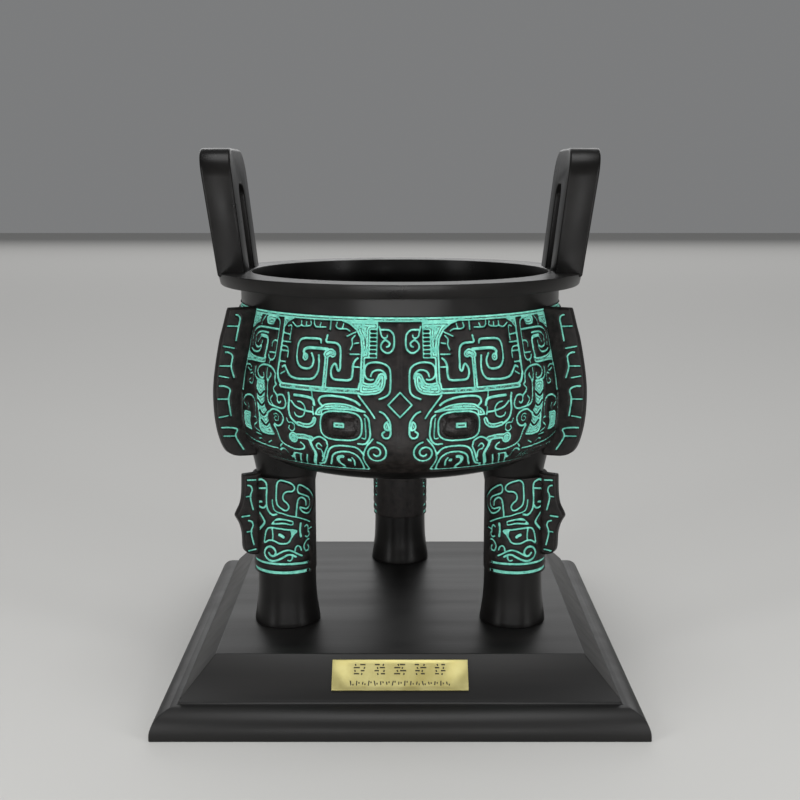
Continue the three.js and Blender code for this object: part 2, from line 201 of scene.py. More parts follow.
# %% A material with grain
def grained_material(name, fine_scale, broad_scale, bump, roughness_range):
    """A material whose bump and roughness come from the shared grain."""
    material = bpy.data.materials.new(name)
    material.use_nodes = True
    tree = material.node_tree
    shader = tree.nodes["Principled BSDF"]
    place = add_node(tree, "ShaderNodeTexCoord")
    texture = add_node(tree, "ShaderNodeGroup", {"node_tree": grain})
    texture.inputs["Fine Scale"].default_value = fine_scale
    texture.inputs["Broad Scale"].default_value = broad_scale
    relief = add_node(tree, "ShaderNodeBump", Strength=bump, Distance=0.0002)
    smoothest, roughest = roughness_range
    rough = add_node(tree, "ShaderNodeMapRange", To_Min=smoothest, To_Max=roughest)
    tree.links.new(place.outputs["Object"], texture.inputs["Vector"])
    tree.links.new(texture.outputs["Height"], relief.inputs["Height"])
    tree.links.new(relief.outputs["Normal"], shader.inputs["Normal"])
    tree.links.new(texture.outputs["Mottle"], rough.inputs["Value"])
    tree.links.new(rough.outputs["Result"], shader.inputs["Roughness"])
    return material, tree, shader, texture, rough


def blend_colours(tree, factor, first, second):
    """A colour between two others, each a plain colour or another node's output."""
    mix = add_node(tree, "ShaderNodeMix", {"data_type": "RGBA"})
    tree.links.new(factor, mix.inputs["Factor"])
    for socket, value in ((mix.inputs["A"], first), (mix.inputs["B"], second)):
        if isinstance(value, tuple):
            socket.default_value = (*value, 1)
        else:
            tree.links.new(value, socket)
    return mix.outputs["Result"]


def mottled_material(name, fine_scale, broad_scale, bump, roughness_range, dark, light):
    """A grained material whose colour wanders between two tones."""
    material, tree, shader, texture, _ = grained_material(name, fine_scale, broad_scale, bump,
                                                          roughness_range)
    tree.links.new(blend_colours(tree, texture.outputs["Mottle"], dark, light), shader.inputs["Base Color"])
    return material, tree, shader, texture


PATINA_DARK = (0.0035, 0.0033, 0.0032)
PATINA_LIGHT = (0.0075, 0.0070, 0.0066)

patina, tree, shader, texture = mottled_material("black_patina", 1400, 70, 0.10, (0.27, 0.36),
                                                 PATINA_DARK, PATINA_LIGHT)
shader.inputs["Specular IOR Level"].default_value = 0.14
print("material", patina.name)

# %% [markdown]
# The carved pieces carry an attribute called "carve": the distance in millimetres from the
# edge of the nearest sunken line, negative inside it. The paint follows that number, so its
# edge stays sharp whatever the mesh, and a little noise makes it hand-painted. Where a
# painted field is wide, thin black lines run along its edge at even distances, as the fine
# ground pattern does on the real vessel.

# %% Carved and painted bronze
PAINT_EDGE = (0.030, 0.180, 0.140)
PAINT_DARK = (0.100, 0.380, 0.300)
PAINT_LIGHT = (0.240, 0.680, 0.550)
EDGE_WOBBLE = 0.12              # how far the paint strays over its edge, mm
PAINT_START = 0.11              # how far inside the edge the paint begins, mm
LINE_PITCH = 0.9                # spacing of the fine lines in a wide painted field, mm
FIRST_LINE = 0.88               # how far inside the edge the first fine line runs, mm
LINE_HALF_WIDTH = 0.21
GROUND_START = 0.6              # how far inside the edge the lines and dots begin, mm


def math_node(tree, operation, first, second=None, clamp=False):
    node = add_node(tree, "ShaderNodeMath", {"operation": operation, "use_clamp": clamp})
    for socket, value in zip(node.inputs, (first, second)):
        if value is None:
            continue
        if isinstance(value, (int, float)):
            socket.default_value = value
        else:
            tree.links.new(value, socket)
    return node.outputs[0]


def threshold(tree, value, low, sharpness):
    """0 below low, rising to 1 by the sharpness."""
    above = math_node(tree, "SUBTRACT", value, low)
    return math_node(tree, "MULTIPLY", above, sharpness, clamp=True)


def both(tree, first, second):
    return math_node(tree, "MULTIPLY", first, second)


carved, tree, shader, texture, rough = grained_material("painted_carving", 1500, 420, 0.45,
                                                        (0.34, 0.50))
shader.inputs["Specular IOR Level"].default_value = 0.15
carve = add_node(tree, "ShaderNodeAttribute", {"attribute_name": "carve"}).outputs["Fac"]
shine = add_node(tree, "ShaderNodeAttribute", {"attribute_name": "shine"}).outputs["Fac"]
grit, mottle = texture.outputs["Height"], texture.outputs["Mottle"]
stray = math_node(tree, "MULTIPLY", math_node(tree, "SUBTRACT", grit, 0.5), 2 * EDGE_WOBBLE)
depth = math_node(tree, "SUBTRACT", stray, carve)
paint = threshold(tree, depth, PAINT_START, 11.0)
wave = math_node(tree, "PINGPONG", math_node(tree, "SUBTRACT", depth, FIRST_LINE), LINE_PITCH / 2)
fine_line = both(tree, threshold(tree, math_node(tree, "SUBTRACT", LINE_HALF_WIDTH, wave), 0.0, 8.0),
                 threshold(tree, mottle, 0.25, 4.0))
stipple = threshold(tree, grit, 0.56, 12.0)
ground = both(tree, math_node(tree, "MAXIMUM", fine_line, stipple),
              threshold(tree, depth, GROUND_START, 6.0))
speck = both(tree, threshold(tree, grit, 0.64, 14.0), threshold(tree, mottle, 0.45, 5.0))
residue = both(tree, speck, math_node(tree, "SUBTRACT", 1.0, shine))
black = blend_colours(tree, mottle, PATINA_DARK, (0.013, 0.0105, 0.0098))
turquoise = blend_colours(tree, mottle, PAINT_DARK, PAINT_LIGHT)
# The turquoise is darker where it meets the edge of each sunken line, over the first quarter millimetre
# inside it
paint_darker_at_edge = blend_colours(tree, threshold(tree, depth, 0.06, 4.0), PAINT_EDGE, turquoise)
uncovered = math_node(tree, "MULTIPLY", ground, 0.9)
covered = both(tree, paint, math_node(tree, "SUBTRACT", 1.0, uncovered))
shown_paint = math_node(tree, "MAXIMUM", covered, math_node(tree, "MULTIPLY", residue, 0.16))
tree.links.new(blend_colours(tree, shown_paint, black, paint_darker_at_edge), shader.inputs["Base Color"])
matt = math_node(tree, "MULTIPLY", shown_paint, 0.3)
bright = math_node(tree, "MULTIPLY", shine, 0.16)
roughness = math_node(tree, "ADD", rough.outputs["Result"], matt)
roughness = math_node(tree, "SUBTRACT", roughness, bright, clamp=True)
tree.links.new(roughness, shader.inputs["Roughness"])
print("material", carved.name)

# %% [markdown]
# ## The plinth
#
# The plinth is one block of black lacquered wood with a flat top, a sloped upper side and a
# rounded foot moulding. A moulded square block is a stack of squares, so we add the foot as
# a flat box, then extrude its top face and scale it in, one step of the moulding at a time.


# %% Helpers for modelling by hand
def deselect():
    bpy.ops.object.select_all(action="DESELECT")


def take(name):
    """Names the object that was just added."""
    piece = bpy.context.active_object
    piece.name = piece.data.name = name
    return piece


def use(piece):
    deselect()
    piece.select_set(True)
    bpy.context.view_layer.objects.active = piece


def apply_place(piece):
    use(piece)
    bpy.ops.object.transform_apply(location=True, rotation=True, scale=True)


def soften(piece, width, segments=2, angle=30):
    """Rounds every edge that is sharper than the angle, width in millimetres."""
    use(piece)
    bevel = piece.modifiers.new("soft_edges", "BEVEL")
    bevel.width, bevel.segments = width * MM, segments
    bevel.limit_method, bevel.angle_limit = "ANGLE", math.radians(angle)
    bpy.ops.object.modifier_apply(modifier=bevel.name)


def cut_away(piece, cutter, overlapping=False):
    """Cuts one solid out of another; overlapping is for a cutter that crosses itself."""
    use(piece)
    cut = piece.modifiers.new("cut", "BOOLEAN")
    cut.operation, cut.object, cut.solver, cut.use_self = "DIFFERENCE", cutter, "EXACT", overlapping
    bpy.ops.object.modifier_apply(modifier=cut.name)
    bpy.data.objects.remove(cutter)


def finish_piece(piece, material, slot, *nodes, smooth=35):
    """Gives a piece its finish and hides the CAD parts it takes the place of."""
    use(piece)
    bpy.ops.object.shade_smooth_by_angle(angle=math.radians(smooth))
    piece.data.materials.clear()
    piece.data.materials.append(material)
    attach(piece, "root")
    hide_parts(*nodes)
    print(f"{piece.name}: {len(piece.data.polygons)} faces")


# %% Plinth
PLINTH_TOP_HALF = 68.5
SLOPE_FOOT_HALF = 80.0
SLOPE_HEIGHT = 12.5
FOOT_BAND = 1.6                 # upright band under the rounded moulding
LEDGE_WIDTH = 1.2               # flat step between the slope and the rounded moulding
OVOLO_STEPS = 12
ledge = FEET - SLOPE_HEIGHT
foot_half = plinth_high.x / MM
moulding = [(foot_half, FOOT_BAND)]
ovolo_width = foot_half - SLOPE_FOOT_HALF - LEDGE_WIDTH
ovolo_height = ledge - 3.4
for k in range(1, OVOLO_STEPS + 1):
    turn = math.radians(90 * k / OVOLO_STEPS)
    moulding.append((SLOPE_FOOT_HALF + LEDGE_WIDTH + ovolo_width * math.cos(turn),
                     FOOT_BAND + ovolo_height * math.sin(turn)))
moulding += [(SLOPE_FOOT_HALF + 0.4, ledge - 1.2), (SLOPE_FOOT_HALF, ledge), (PLINTH_TOP_HALF, FEET)]

deselect()
bpy.ops.mesh.primitive_cube_add(size=1, location=(0, 0, FOOT_BAND * MM / 2))
plinth = take("plinth_block")
plinth.scale = (2 * foot_half * MM, 2 * foot_half * MM, FOOT_BAND * MM)
apply_place(plinth)
bpy.ops.object.mode_set(mode="EDIT")
bpy.ops.mesh.select_all(action="DESELECT")
bpy.ops.object.mode_set(mode="OBJECT")
for face in plinth.data.polygons:
    face.select = face.normal.z > 0.9
bpy.ops.object.mode_set(mode="EDIT")
bpy.ops.mesh.select_mode(type="FACE")
for (half, height), (next_half, next_height) in zip(moulding, moulding[1:]):
    bpy.ops.mesh.extrude_region_move(
        TRANSFORM_OT_translate={"value": (0, 0, (next_height - height) * MM)})
    shrink = next_half / half
    bpy.ops.transform.resize(value=(shrink, shrink, 1), center_override=(0, 0, 0))
bpy.ops.object.mode_set(mode="OBJECT")
soften(plinth, 0.35, angle=25)
print("plinth top at", round(max(v.co.z for v in plinth.data.vertices) / MM, 2), "mm")

# %% [markdown]
# Black lacquer over wood is nearly a mirror at a low angle and has the faintest grain under
# it. The grain is stretched noise along the boards, which varies the roughness and dents
# the surface by a few hundredths of a millimetre.

# %% Lacquered wood
lacquer, tree, shader, texture = mottled_material("black_lacquer", 700, 90, 0.12, (0.38, 0.46),
                                                  (0.006, 0.006, 0.006), (0.010, 0.0095, 0.009))
shader.inputs["Specular IOR Level"].default_value = 0.28
stretch = add_node(tree, "ShaderNodeMapping", Scale=(0.06, 1.0, 1.0))
place = next(node for node in tree.nodes if node.type == "TEX_COORD")
tree.links.new(place.outputs["Object"], stretch.inputs["Vector"])
tree.links.new(stretch.outputs["Vector"], texture.inputs["Vector"])
finish_piece(plinth, lacquer, "plinth", "plinth")

# %% [markdown]
# ## The nameplate
#
# A thin brass plate lies on the front slope. The real one carries an inscription; here two
# rows of plain strokes take its place. The plate is a box with soft edges. Its strokes are
# cut with small boxes, joined into one cutter, and their floors are blackened.

# %% Plate and strokes
PLATE_WIDTH, PLATE_HEIGHT, PLATE_THICKNESS = 50.0, 11.6, 0.8
STROKE_DEPTH = 0.22
slope_angle = math.atan2(SLOPE_HEIGHT, SLOPE_FOOT_HALF - PLINTH_TOP_HALF)
plate_middle = (plate_low + plate_high) / 2


def small_box(size, centre, turn=0.0):
    deselect()
    place = [c * MM for c in centre]
    bpy.ops.mesh.primitive_cube_add(size=1, location=place, rotation=(0, 0, turn))
    box = bpy.context.active_object
    box.scale = [s * MM for s in size]
    apply_place(box)
    return box


plate = small_box((PLATE_WIDTH, PLATE_HEIGHT, PLATE_THICKNESS), (0, 0, 0))
plate.name = plate.data.name = "brass_plate"
soften(plate, 0.15)
picks = random.Random(5)
strokes = []
GROUP_PITCH, ROW_PITCH, UPPER_TOP = 7.4, 1.15, 3.9
STROKE_WIDTH = 0.55
TICK_WIDTH, TICK_PITCH, LOWER_ROW = 0.45, 2.2, -3.1
for k in range(5):
    x = (k - 2) * GROUP_PITCH
    for row in range(4):
        length = picks.uniform(1.4, 2.3)
        side = (-1) ** (row + k)
        y = UPPER_TOP - ROW_PITCH * row
        strokes.append(((length, STROKE_WIDTH, 1), (x + side * picks.uniform(0.9, 1.2), y), 0.0))
        strokes.append(((STROKE_WIDTH, 0.75, 1), (x - side * picks.uniform(0.6, 1.8), y - 0.1),
                        side * 0.35))
for k in range(17):
    x = (k - 8) * TICK_PITCH
    strokes.append(((TICK_WIDTH, picks.uniform(1.1, 2.0), 1), (x - 0.45, LOWER_ROW),
                    picks.uniform(-0.25, 0.25)))
    strokes.append(((TICK_WIDTH, 0.7, 1), (x + 0.4, LOWER_ROW + picks.uniform(-0.6, 0.6)), 0.0))
cutters = []
for size, (x, y), turn in strokes:
    cutters.append(small_box(size, (x, y, PLATE_THICKNESS / 2 + 0.5 - STROKE_DEPTH), turn))
deselect()
for cutter in cutters:
    cutter.select_set(True)
bpy.context.view_layer.objects.active = cutters[0]
bpy.ops.object.join()
cut_away(plate, take("plate_cutter"), overlapping=True)
print(len(strokes), "strokes in the plate")

# %% Brass and its place on the slope
brass, tree, shader, texture = mottled_material("satin_brass", 1500, 140, 0.08, (0.34, 0.46),
                                                (0.44, 0.38, 0.14), (0.54, 0.49, 0.22))
shader.inputs["Metallic"].default_value = 0.85
blackened = mottled_material("blackened_strokes", 1500, 140, 0.08, (0.5, 0.6),
                             (0.02, 0.016, 0.008), (0.035, 0.03, 0.015))[0]
floor_height = (PLATE_THICKNESS / 2 - STROKE_DEPTH) * MM
sunk_faces = [face.index for face in plate.data.polygons
              if face.normal.z > 0.9 and face.center.z < floor_height + 0.00005]
plate.rotation_euler = (slope_angle, 0, 0)
plate.location = plate_middle
apply_place(plate)
finish_piece(plate, brass, "plate", "nameplate")
plate.data.materials.append(blackened)
for index in sunk_faces:
    plate.data.polygons[index].material_index = 1
print(len(sunk_faces), "blackened floors")

# %% [markdown]
# ## The bowl
#
# The bowl, its neck and its rim are round, so one outline is drawn from the middle of the
# underside, up the outside, over the rim and down the inside to the middle of the floor,
# and spun about the axis. Between the foot of the masks and the neck the wall is set back
# by about a millimetre, because the carved masks are laid over it as pieces of their own.


# %% A smooth curve through a few points
def smooth_curve(points, steps=6, closed=False):
    """A curve through the points, which bends as a thin strip of wood would."""
    knots = np.array(points, float)
    if len(knots) < 3:
        return knots
    if closed:
        knots = np.vstack([knots[-1], knots, knots[0], knots[1]])
    else:
        knots = np.vstack([2 * knots[0] - knots[1], knots, 2 * knots[-1] - knots[-2]])
    t = np.linspace(0, 1, steps, endpoint=False)[:, None]
    pieces = []
    for a, b, c, d in zip(knots, knots[1:], knots[2:], knots[3:]):
        pieces.append(0.5 * (2 * b + (c - a) * t + (2 * a - 5 * b + 4 * c - d) * t**2
                             + (3 * b - a - 3 * c + d) * t**3))
    if not closed:
        pieces.append(knots[-2][None, :])
    return np.vstack(pieces)


WALL_KNOTS = [(69.0, 62.4), (70, 63.6), (74, 67.6), (77, 69.3), (80, 70.2), (84, 70.7), (89, 70.8),
              (94, 70.6), (98.6, 70.0), (103, 69.2), (108, 68.0), (116, 66.2), (126.5, 63.8)]
wall_curve = smooth_curve(WALL_KNOTS, steps=8)


def wall_radius(z):
    """Radius of the carved wall at a height above the feet."""
    return np.interp(z, wall_curve[:, 0], wall_curve[:, 1])


def wall_tilt(z):
    """How far the wall leans, as the angle of its outward normal below the horizon."""
    return np.arctan2(wall_radius(z + 0.5) - wall_radius(z - 0.5), 1.0)


print("widest radius of the wall", round(float(wall_curve[:, 1].max()), 2), "mm")


# %% Spin an outline into a round piece
def spun(name, outline, steps):
    """A round piece from an outline of (radius, height) that starts and ends on its axis."""
    outline = [(float(r), float(z)) for r, z in outline]
    deselect()
    bpy.ops.mesh.primitive_plane_add(size=0.01, location=(0, 0, 0))
    piece = take(name)
    bpy.ops.object.mode_set(mode="EDIT")
    bpy.ops.mesh.select_mode(type="VERT")
    bpy.ops.mesh.select_all(action="SELECT")
    bpy.ops.mesh.merge(type="CENTER")
    bpy.ops.transform.translate(value=(0, 0, outline[0][1] * MM))
    for (r0, z0), (r1, z1) in zip(outline, outline[1:]):
        bpy.ops.mesh.extrude_region_move(
            TRANSFORM_OT_translate={"value": ((r1 - r0) * MM, 0, (z1 - z0) * MM)})
    bpy.ops.mesh.select_all(action="SELECT")
    bpy.ops.mesh.spin(steps=steps, angle=math.tau, center=(0, 0, 0), axis=(0, 0, 1))
    bpy.ops.mesh.select_all(action="SELECT")
    bpy.ops.mesh.remove_doubles(threshold=0.00002)
    bpy.ops.mesh.normals_make_consistent(inside=False)
    bpy.ops.object.mode_set(mode="OBJECT")
    return piece


def place_in_vessel(piece, turn=0.0, shift=(0, 0, 0)):
    """Moves a piece made about the origin to its place in the vessel, in its mesh."""
    piece.data.transform(Matrix.Translation((0, AXIS_Y * MM, FEET * MM)) @ Matrix.Rotation(turn, 4, "Z")
                         @ Matrix.Translation([c * MM for c in shift]))
    piece.data.update()


# %% Bowl
SET_BACK = 1.0                  # how far the wall lies under the masks
NECK = 63.6
RIM_LOW, RIM_HIGH = 132.7, 137.6
RIM_INNER = 59.3
under = [(30, 61.0), (40, 61.3), (48, 62.9), (56, 65.5), (61.6, 68.6)]
belly = [(float(wall_radius(z)) - SET_BACK, z) for z in np.linspace(70.0, 124.6, 20)]
neck = [(NECK, 125.8), (NECK, 131.2), (NECK + 0.4, 132.2), (NECK + 1.4, RIM_LOW)]
rim = [(71.2, RIM_LOW), (71.6, 133.1), (72.5, 137.0), (72.55, 137.35), (72.2, RIM_HIGH),
       (59.9, RIM_HIGH), (59.45, 137.45), (RIM_INNER, 137.0)]
hollow = smooth_curve([(RIM_INNER, 130), (59.6, 126), (62.2, 115), (65.2, 102.5), (66.7, 90), (66.2, 82),
                       (63.4, 75.4), (57, 70.6), (46, 67.3), (30, 66.0), (0, 65.5)], steps=4)
outline = [(0, 61.0), *smooth_curve(under, steps=4), *belly, *neck, *rim, *hollow]
bowl = spun("bowl_shell", outline, steps=168)
place_in_vessel(bowl)
finish_piece(bowl, patina, "bronze", "ding_vessel")

# %% [markdown]
# ## Drawing the ornament
#
# The masks are drawn flat, in millimetres: across from the middle of the mask and up from
# the feet. Half a mask is enough, since the other half mirrors it. A Drawing collects lines
# with a width, filled areas and bare bars, and then answers one question for any point: how
# far is it from the nearest painted edge? That one number shapes the relief and places the
# paint. Curves, spirals and rows of teeth are drawn by functions.


# %% The Drawing
class Drawing:
    """Sunken lines and areas, measured by how far a point lies from their edge."""

    def __init__(self):
        self.marks = []

    def line(self, width, *points, closed=False):
        """A sunken line along a smooth curve."""
        self.marks.append(("line", smooth_curve(points, closed=closed), width / 2, closed))

    def straight(self, width, *points, closed=False):
        """A sunken line with sharp corners."""
        self.marks.append(("line", np.array(points, float), width / 2, closed))

    def dot(self, x, y, radius):
        self.marks.append(("line", np.array([(x, y), (x, y + 0.01)]), radius, False))

    def area(self, *points, smooth=False):
        """A sunken field inside an outline."""
        corners = smooth_curve(points, closed=True) if smooth else np.array(points, float)
        self.marks.append(("area", corners, 0.0, True))

    def bare(self, width, *points):
        """A raised bar left standing in a sunken field."""
        self.marks.append(("bare", smooth_curve(points), width / 2, False))

    def spiral(self, width, x, y, outer, inner, start, turns):
        """A line that winds in from one radius to another, angles in degrees."""
        t = np.linspace(0, 1, max(12, int(24 * abs(turns))))
        angle = np.radians(start + 360 * turns * t)
        radius = outer + (inner - outer) * t
        path = np.column_stack([x + radius * np.cos(angle), y + radius * np.sin(angle)])
        self.marks.append(("line", path, width / 2, False))

    def distance(self, across, up, reach=3.0):
        """Distance to the nearest edge, negative inside a sunken mark."""
        x, y = across.ravel(), up.ravel()
        result = np.full(x.shape, reach)
        for kind, path, half, closed in self.marks:
            low, high = path.min(axis=0) - half - reach, path.max(axis=0) + half + reach
            near = np.flatnonzero((x > low[0]) & (x < high[0]) & (y > low[1]) & (y < high[1]))
            if not len(near):
                continue
            px, py = x[near], y[near]
            ends = np.roll(path, -1, axis=0) if closed else path[1:]
            gap = np.full(px.shape, 1e9)
            inside = np.zeros(px.shape, bool)
            for (ax, ay), (bx, by) in zip(path, ends):
                dx, dy = bx - ax, by - ay
                t = np.clip(((px - ax) * dx + (py - ay) * dy) / (dx * dx + dy * dy + 1e-12), 0, 1)
                gap = np.minimum(gap, np.hypot(px - ax - t * dx, py - ay - t * dy))
                if kind == "area" and ay != by:
                    inside ^= ((ay > py) != (by > py)) & (px < ax + (py - ay) * dx / dy)
            if kind == "area":
                result[near] = np.minimum(result[near], np.where(inside, -gap, gap))
            elif kind == "bare":
                result[near] = np.maximum(result[near], half - gap)
            else:
                result[near] = np.minimum(result[near], gap - half)
        return result.reshape(across.shape)


print("Drawing has", [name for name in vars(Drawing) if not name.startswith("_")])

# %% [markdown]
# The bowl's mask is an animal face seen from the front, with its body split to both sides.
# From the middle outward it has a low nose with a lozenge above it, a scroll on the brow, a
# large C-shaped horn made of square spirals, a bulging eye under a brow, a wide mouth with
# fangs, and behind the cheek a body with a scaled flank, a foreleg with claws and a tail.

# %% Middle of the mask: borders, crest, brow scroll
THIN = 1.0
mask = Drawing()
mask.straight(1.9, (-1, 124.75), (74, 124.75))
mask.straight(THIN, (12.6, 70), (74, 70))
mask.straight(0.9, (0, 99.8), (4.2, 95.4), (0, 91), (-4.2, 95.4), closed=True)
mask.line(0.9, (7.9, 122.4), (7.4, 120.5), (6.9, 119), (5.9, 118.4), (5, 118.7), (4.8, 119.4))
mask.line(THIN, (7.2, 121.3), (4.3, 121.2), (2.7, 120), (2.2, 118.3), (2.3, 115.4), (3.3, 113.8),
          (4.8, 113.3), (6.4, 114.1), (7.2, 115.4), (6.7, 116.9), (5.4, 117.7), (3.9, 116.7),
          (4.2, 115.7), (5, 115.4))
mask.area((8.3, 124), (24, 124), (20, 122.9), (17, 120.8), (15.3, 118), (14.8, 115), (14.8, 100),
          (12.8, 100), (12.8, 111.2), (8.3, 111.2))
for k in range(7):
    bar_height = 120.7 - 1.4 * k
    mask.bare(0.62, (9.3, bar_height), (10.9, bar_height))
mask.line(THIN, (7.3, 97.4), (5.1, 98.3), (3.7, 99.8), (3.4, 103), (3.6, 107.3), (4.8, 109),
          (7, 109.9), (9.4, 110.1), (11.6, 109.6), (12.8, 108.2), (12.9, 106), (12, 104.5),
          (10.6, 104), (9.6, 104.2))
mask.line(THIN, (10.6, 105.2), (10, 106.7), (8.5, 107.4), (6.7, 107.3), (5.4, 106.2), (5, 104.6))
mask.area((5, 105.2), (5.2, 102), (6.4, 99.9), (9, 98.8), (14.8, 98.8), (14.8, 103.2), (11.4, 103),
          (9.6, 103.2), (8.8, 104.4), (7.8, 106.2), (6.2, 106.6), smooth=True)
print(len(mask.marks), "marks")

# %% Horn
mask.straight(2.3, (9, 99.95), (47, 99.95))
mask.line(1.4, (49.6, 124.4), (49.6, 116), (49.6, 106), (49.2, 103.2), (47.8, 101), (45, 99.8))
mask.area((44, 124), (50.3, 124), (50.3, 117.5), (49, 120.5), (47.4, 122.4))
mask.line(3.0, (25.6, 112.5), (26.6, 113), (28.1, 112.2))
mask.straight(1.9, (28.1, 113), (28.1, 100.5))
mask.line(1.4, (28, 114), (32, 114.1), (36.2, 114), (38.1, 113), (37.6, 111.2))
mask.dot(37.2, 110.8, 1.5)
mask.line(1.1, (28.4, 118.8), (28.7, 116.6), (26.6, 116.4), (24.5, 116.2), (23.1, 115.2),
          (22.6, 113.6), (22.4, 110), (22.3, 107.5), (22.9, 106.7), (23.5, 107.5), (23.9, 108.6),
          (24.6, 109.1), (25.5, 108), (25.8, 106.3), (25.3, 104.5), (24, 103.7), (21, 103.6),
          (18.6, 103.7), (17.6, 104.6), (17.4, 107), (17.4, 108.8), (16.7, 110.4), (15.7, 111.3))
mask.line(1.1, (30.9, 116.1), (31.5, 117.3), (35, 117.4), (38.7, 117.2), (40.4, 116.4), (41.1, 114.6),
          (41.2, 111.5), (40.8, 109.4), (39.6, 107.6), (37.6, 106.8), (35, 106.9), (33.7, 108),
          (33.5, 110.2), (34.6, 112.2))
mask.line(1.1, (31.4, 111.7), (31, 109), (31, 106.6), (31.6, 104.8), (33.2, 103.4), (36.5, 103),
          (40, 102.9), (43.2, 103.6), (45.2, 105.6), (46.4, 106.9), (47.7, 106.4))
print(len(mask.marks), "marks")

# %% Teeth inside the horn's border
for points in (
    [(15.1, 108.3), (17.4, 108.3)], [(15.2, 112.7), (18.8, 112.6)], [(15.6, 116.6), (17.4, 116.3)],
    [(17.2, 119.1), (18.3, 117.8), (18.1, 115.9), (18.8, 114.1)], [(17, 120.3), (20.4, 118.8)],
    [(19.4, 120.6), (20.9, 121.3), (23.8, 121.3), (25.1, 122), (24.8, 123.4)], [(22.1, 123), (22.5, 121.6)],
    [(27.5, 123.6), (27.5, 120.8)], [(29.5, 121.6), (33.5, 121.5), (34.6, 122.3), (34.9, 123.6)],
    [(31.7, 123), (32.2, 121.8)], [(36.4, 123.4), (36.4, 121.9), (39.5, 121.4), (40.7, 121.7)],
    [(40.7, 121.7), (43, 121.1), (45.3, 122.4)], [(38.4, 123), (38.4, 121.7)], [(40.8, 123.2), (40.8, 121.6)],
    [(47.4, 121), (45.6, 121), (45.6, 116.2)], [(45.5, 118), (48.8, 118.4)], [(45, 115.4), (49.2, 115.4)],
    [(49, 113.9), (46.6, 113.6), (45.7, 112.3), (45.6, 109.9)], [(46, 112.2), (49, 112.2)],
    [(46.3, 108.3), (49, 108.3)], [(46, 105), (47.9, 103.9)],
):
    mask.line(0.85, *points)
print(len(mask.marks), "marks")

# %% Eye and brow
EYE_X, EYE_Y, EYE_HALF_WIDTH, EYE_HALF_HEIGHT, EYE_RISE = 21.3, 87.5, 6.6, 4.4, 2.1
PUPIL_Y, PUPIL_HALF_WIDTH, PUPIL_HALF_HEIGHT = 87.9, 2.1, 1.05


def oblong(x, y, half_width, half_height, power=0.62, count=40):
    """Points round a rounded oblong."""
    turn = np.linspace(0, math.tau, count, endpoint=False)
    c, s = np.cos(turn), np.sin(turn)
    return np.column_stack([x + half_width * np.sign(c) * np.abs(c) ** power,
                            y + half_height * np.sign(s) * np.abs(s) ** power])


mask.straight(0.95, *oblong(EYE_X, EYE_Y - 0.2, 7.8, 5.25), closed=True)
mask.line(0.95, (8.9, 90.6), (10.2, 92.6), (11.7, 94.6), (14.9, 98.5))
mask.line(1.1, (14.2, 95.1), (15.9, 96.3), (18.5, 97.2), (21.2, 97.7), (25.4, 97.9), (28.3, 97.5),
          (29.6, 96.7), (29.7, 95.4), (28.3, 94))
mask.area((12, 93), (12.6, 92.3), (17.5, 92.9), (24, 92.9), (28, 92.3), (28.2, 90.6), (31.4, 90.6),
          (30.6, 92.8), (28.9, 94), (27, 95.2), (22, 95.7), (17.6, 95.2), (14.4, 94), smooth=True)
mask.line(THIN, (12.5, 91.7), (11.2, 90.4), (10.8, 88), (10.5, 84.8), (10.9, 83), (11.7, 81.7),
          (13, 80.9), (15.1, 81))
mask.line(0.8, (12.5, 90.4), (12.2, 87.7), (12.2, 83.3), (13.6, 83.2))
mask.line(0.9, (9.6, 83), (10.6, 81.7), (11.7, 80.4), (12.7, 78.5), (13.4, 76.2), (13.3, 73.8),
          (12.1, 70.2))
print(len(mask.marks), "marks")

# %% Nose, mouth and fang
mask.line(THIN, (7.1, 93), (5.6, 92.2), (4.3, 90.6), (3.5, 89), (3.3, 86.7), (3.4, 84.6), (4.4, 83.4),
          (5.8, 83.7), (6.3, 85), (5.4, 85.8))
mask.area((3.4, 86.2), (5.2, 86.1), (6, 87.6), (5.4, 89.2), (4.2, 89.6), smooth=True)
mask.spiral(THIN, 8.8, 77.6, 4.3, 0.9, 100, 1.62)
mask.line(THIN, (13.2, 76.6), (14.8, 78.8), (16.9, 79.7), (20.4, 79.9), (23.3, 79.7), (25.4, 78.8),
          (26.7, 77.2), (27.7, 75.1), (29.1, 73), (30.6, 71.6), (33, 71.1))
mask.line(0.9, (26.7, 79.2), (28.3, 76.4), (29.3, 74.3), (30.9, 72.4))
mask.line(THIN, (14.2, 70.4), (14.4, 73), (15.1, 75.4), (16.7, 76.9), (19, 77.6), (21.7, 77.5),
          (24, 76.7), (25.4, 75.4), (26.4, 73.3), (27.7, 71.4))
mask.dot(19, 74.1, 0.9)
mask.line(1.6, (21.3, 75.6), (23.1, 75), (23.6, 73.2), (22.2, 71.2))
mask.line(THIN, (17.6, 71.8), (17.2, 73.8), (17.8, 75.2))
mask.line(THIN, (26.7, 79.8), (27, 81.2), (28.3, 82.2), (29.8, 82.6), (31.7, 81.9), (33, 80.8))
mask.line(0.9, (29.1, 79.1), (30.1, 80.1), (31.2, 79.3), (30.9, 78), (29.6, 77.6), (29.3, 76.2),
          (29.8, 74.3))
mask.line(2.3, (33, 81.6), (36, 82), (39.2, 81.9))
mask.dot(41, 81.2, 2.2)
mask.line(1.5, (34, 82), (33.3, 79), (32.2, 76), (33.3, 73.6), (35, 71.2))
print(len(mask.marks), "marks")

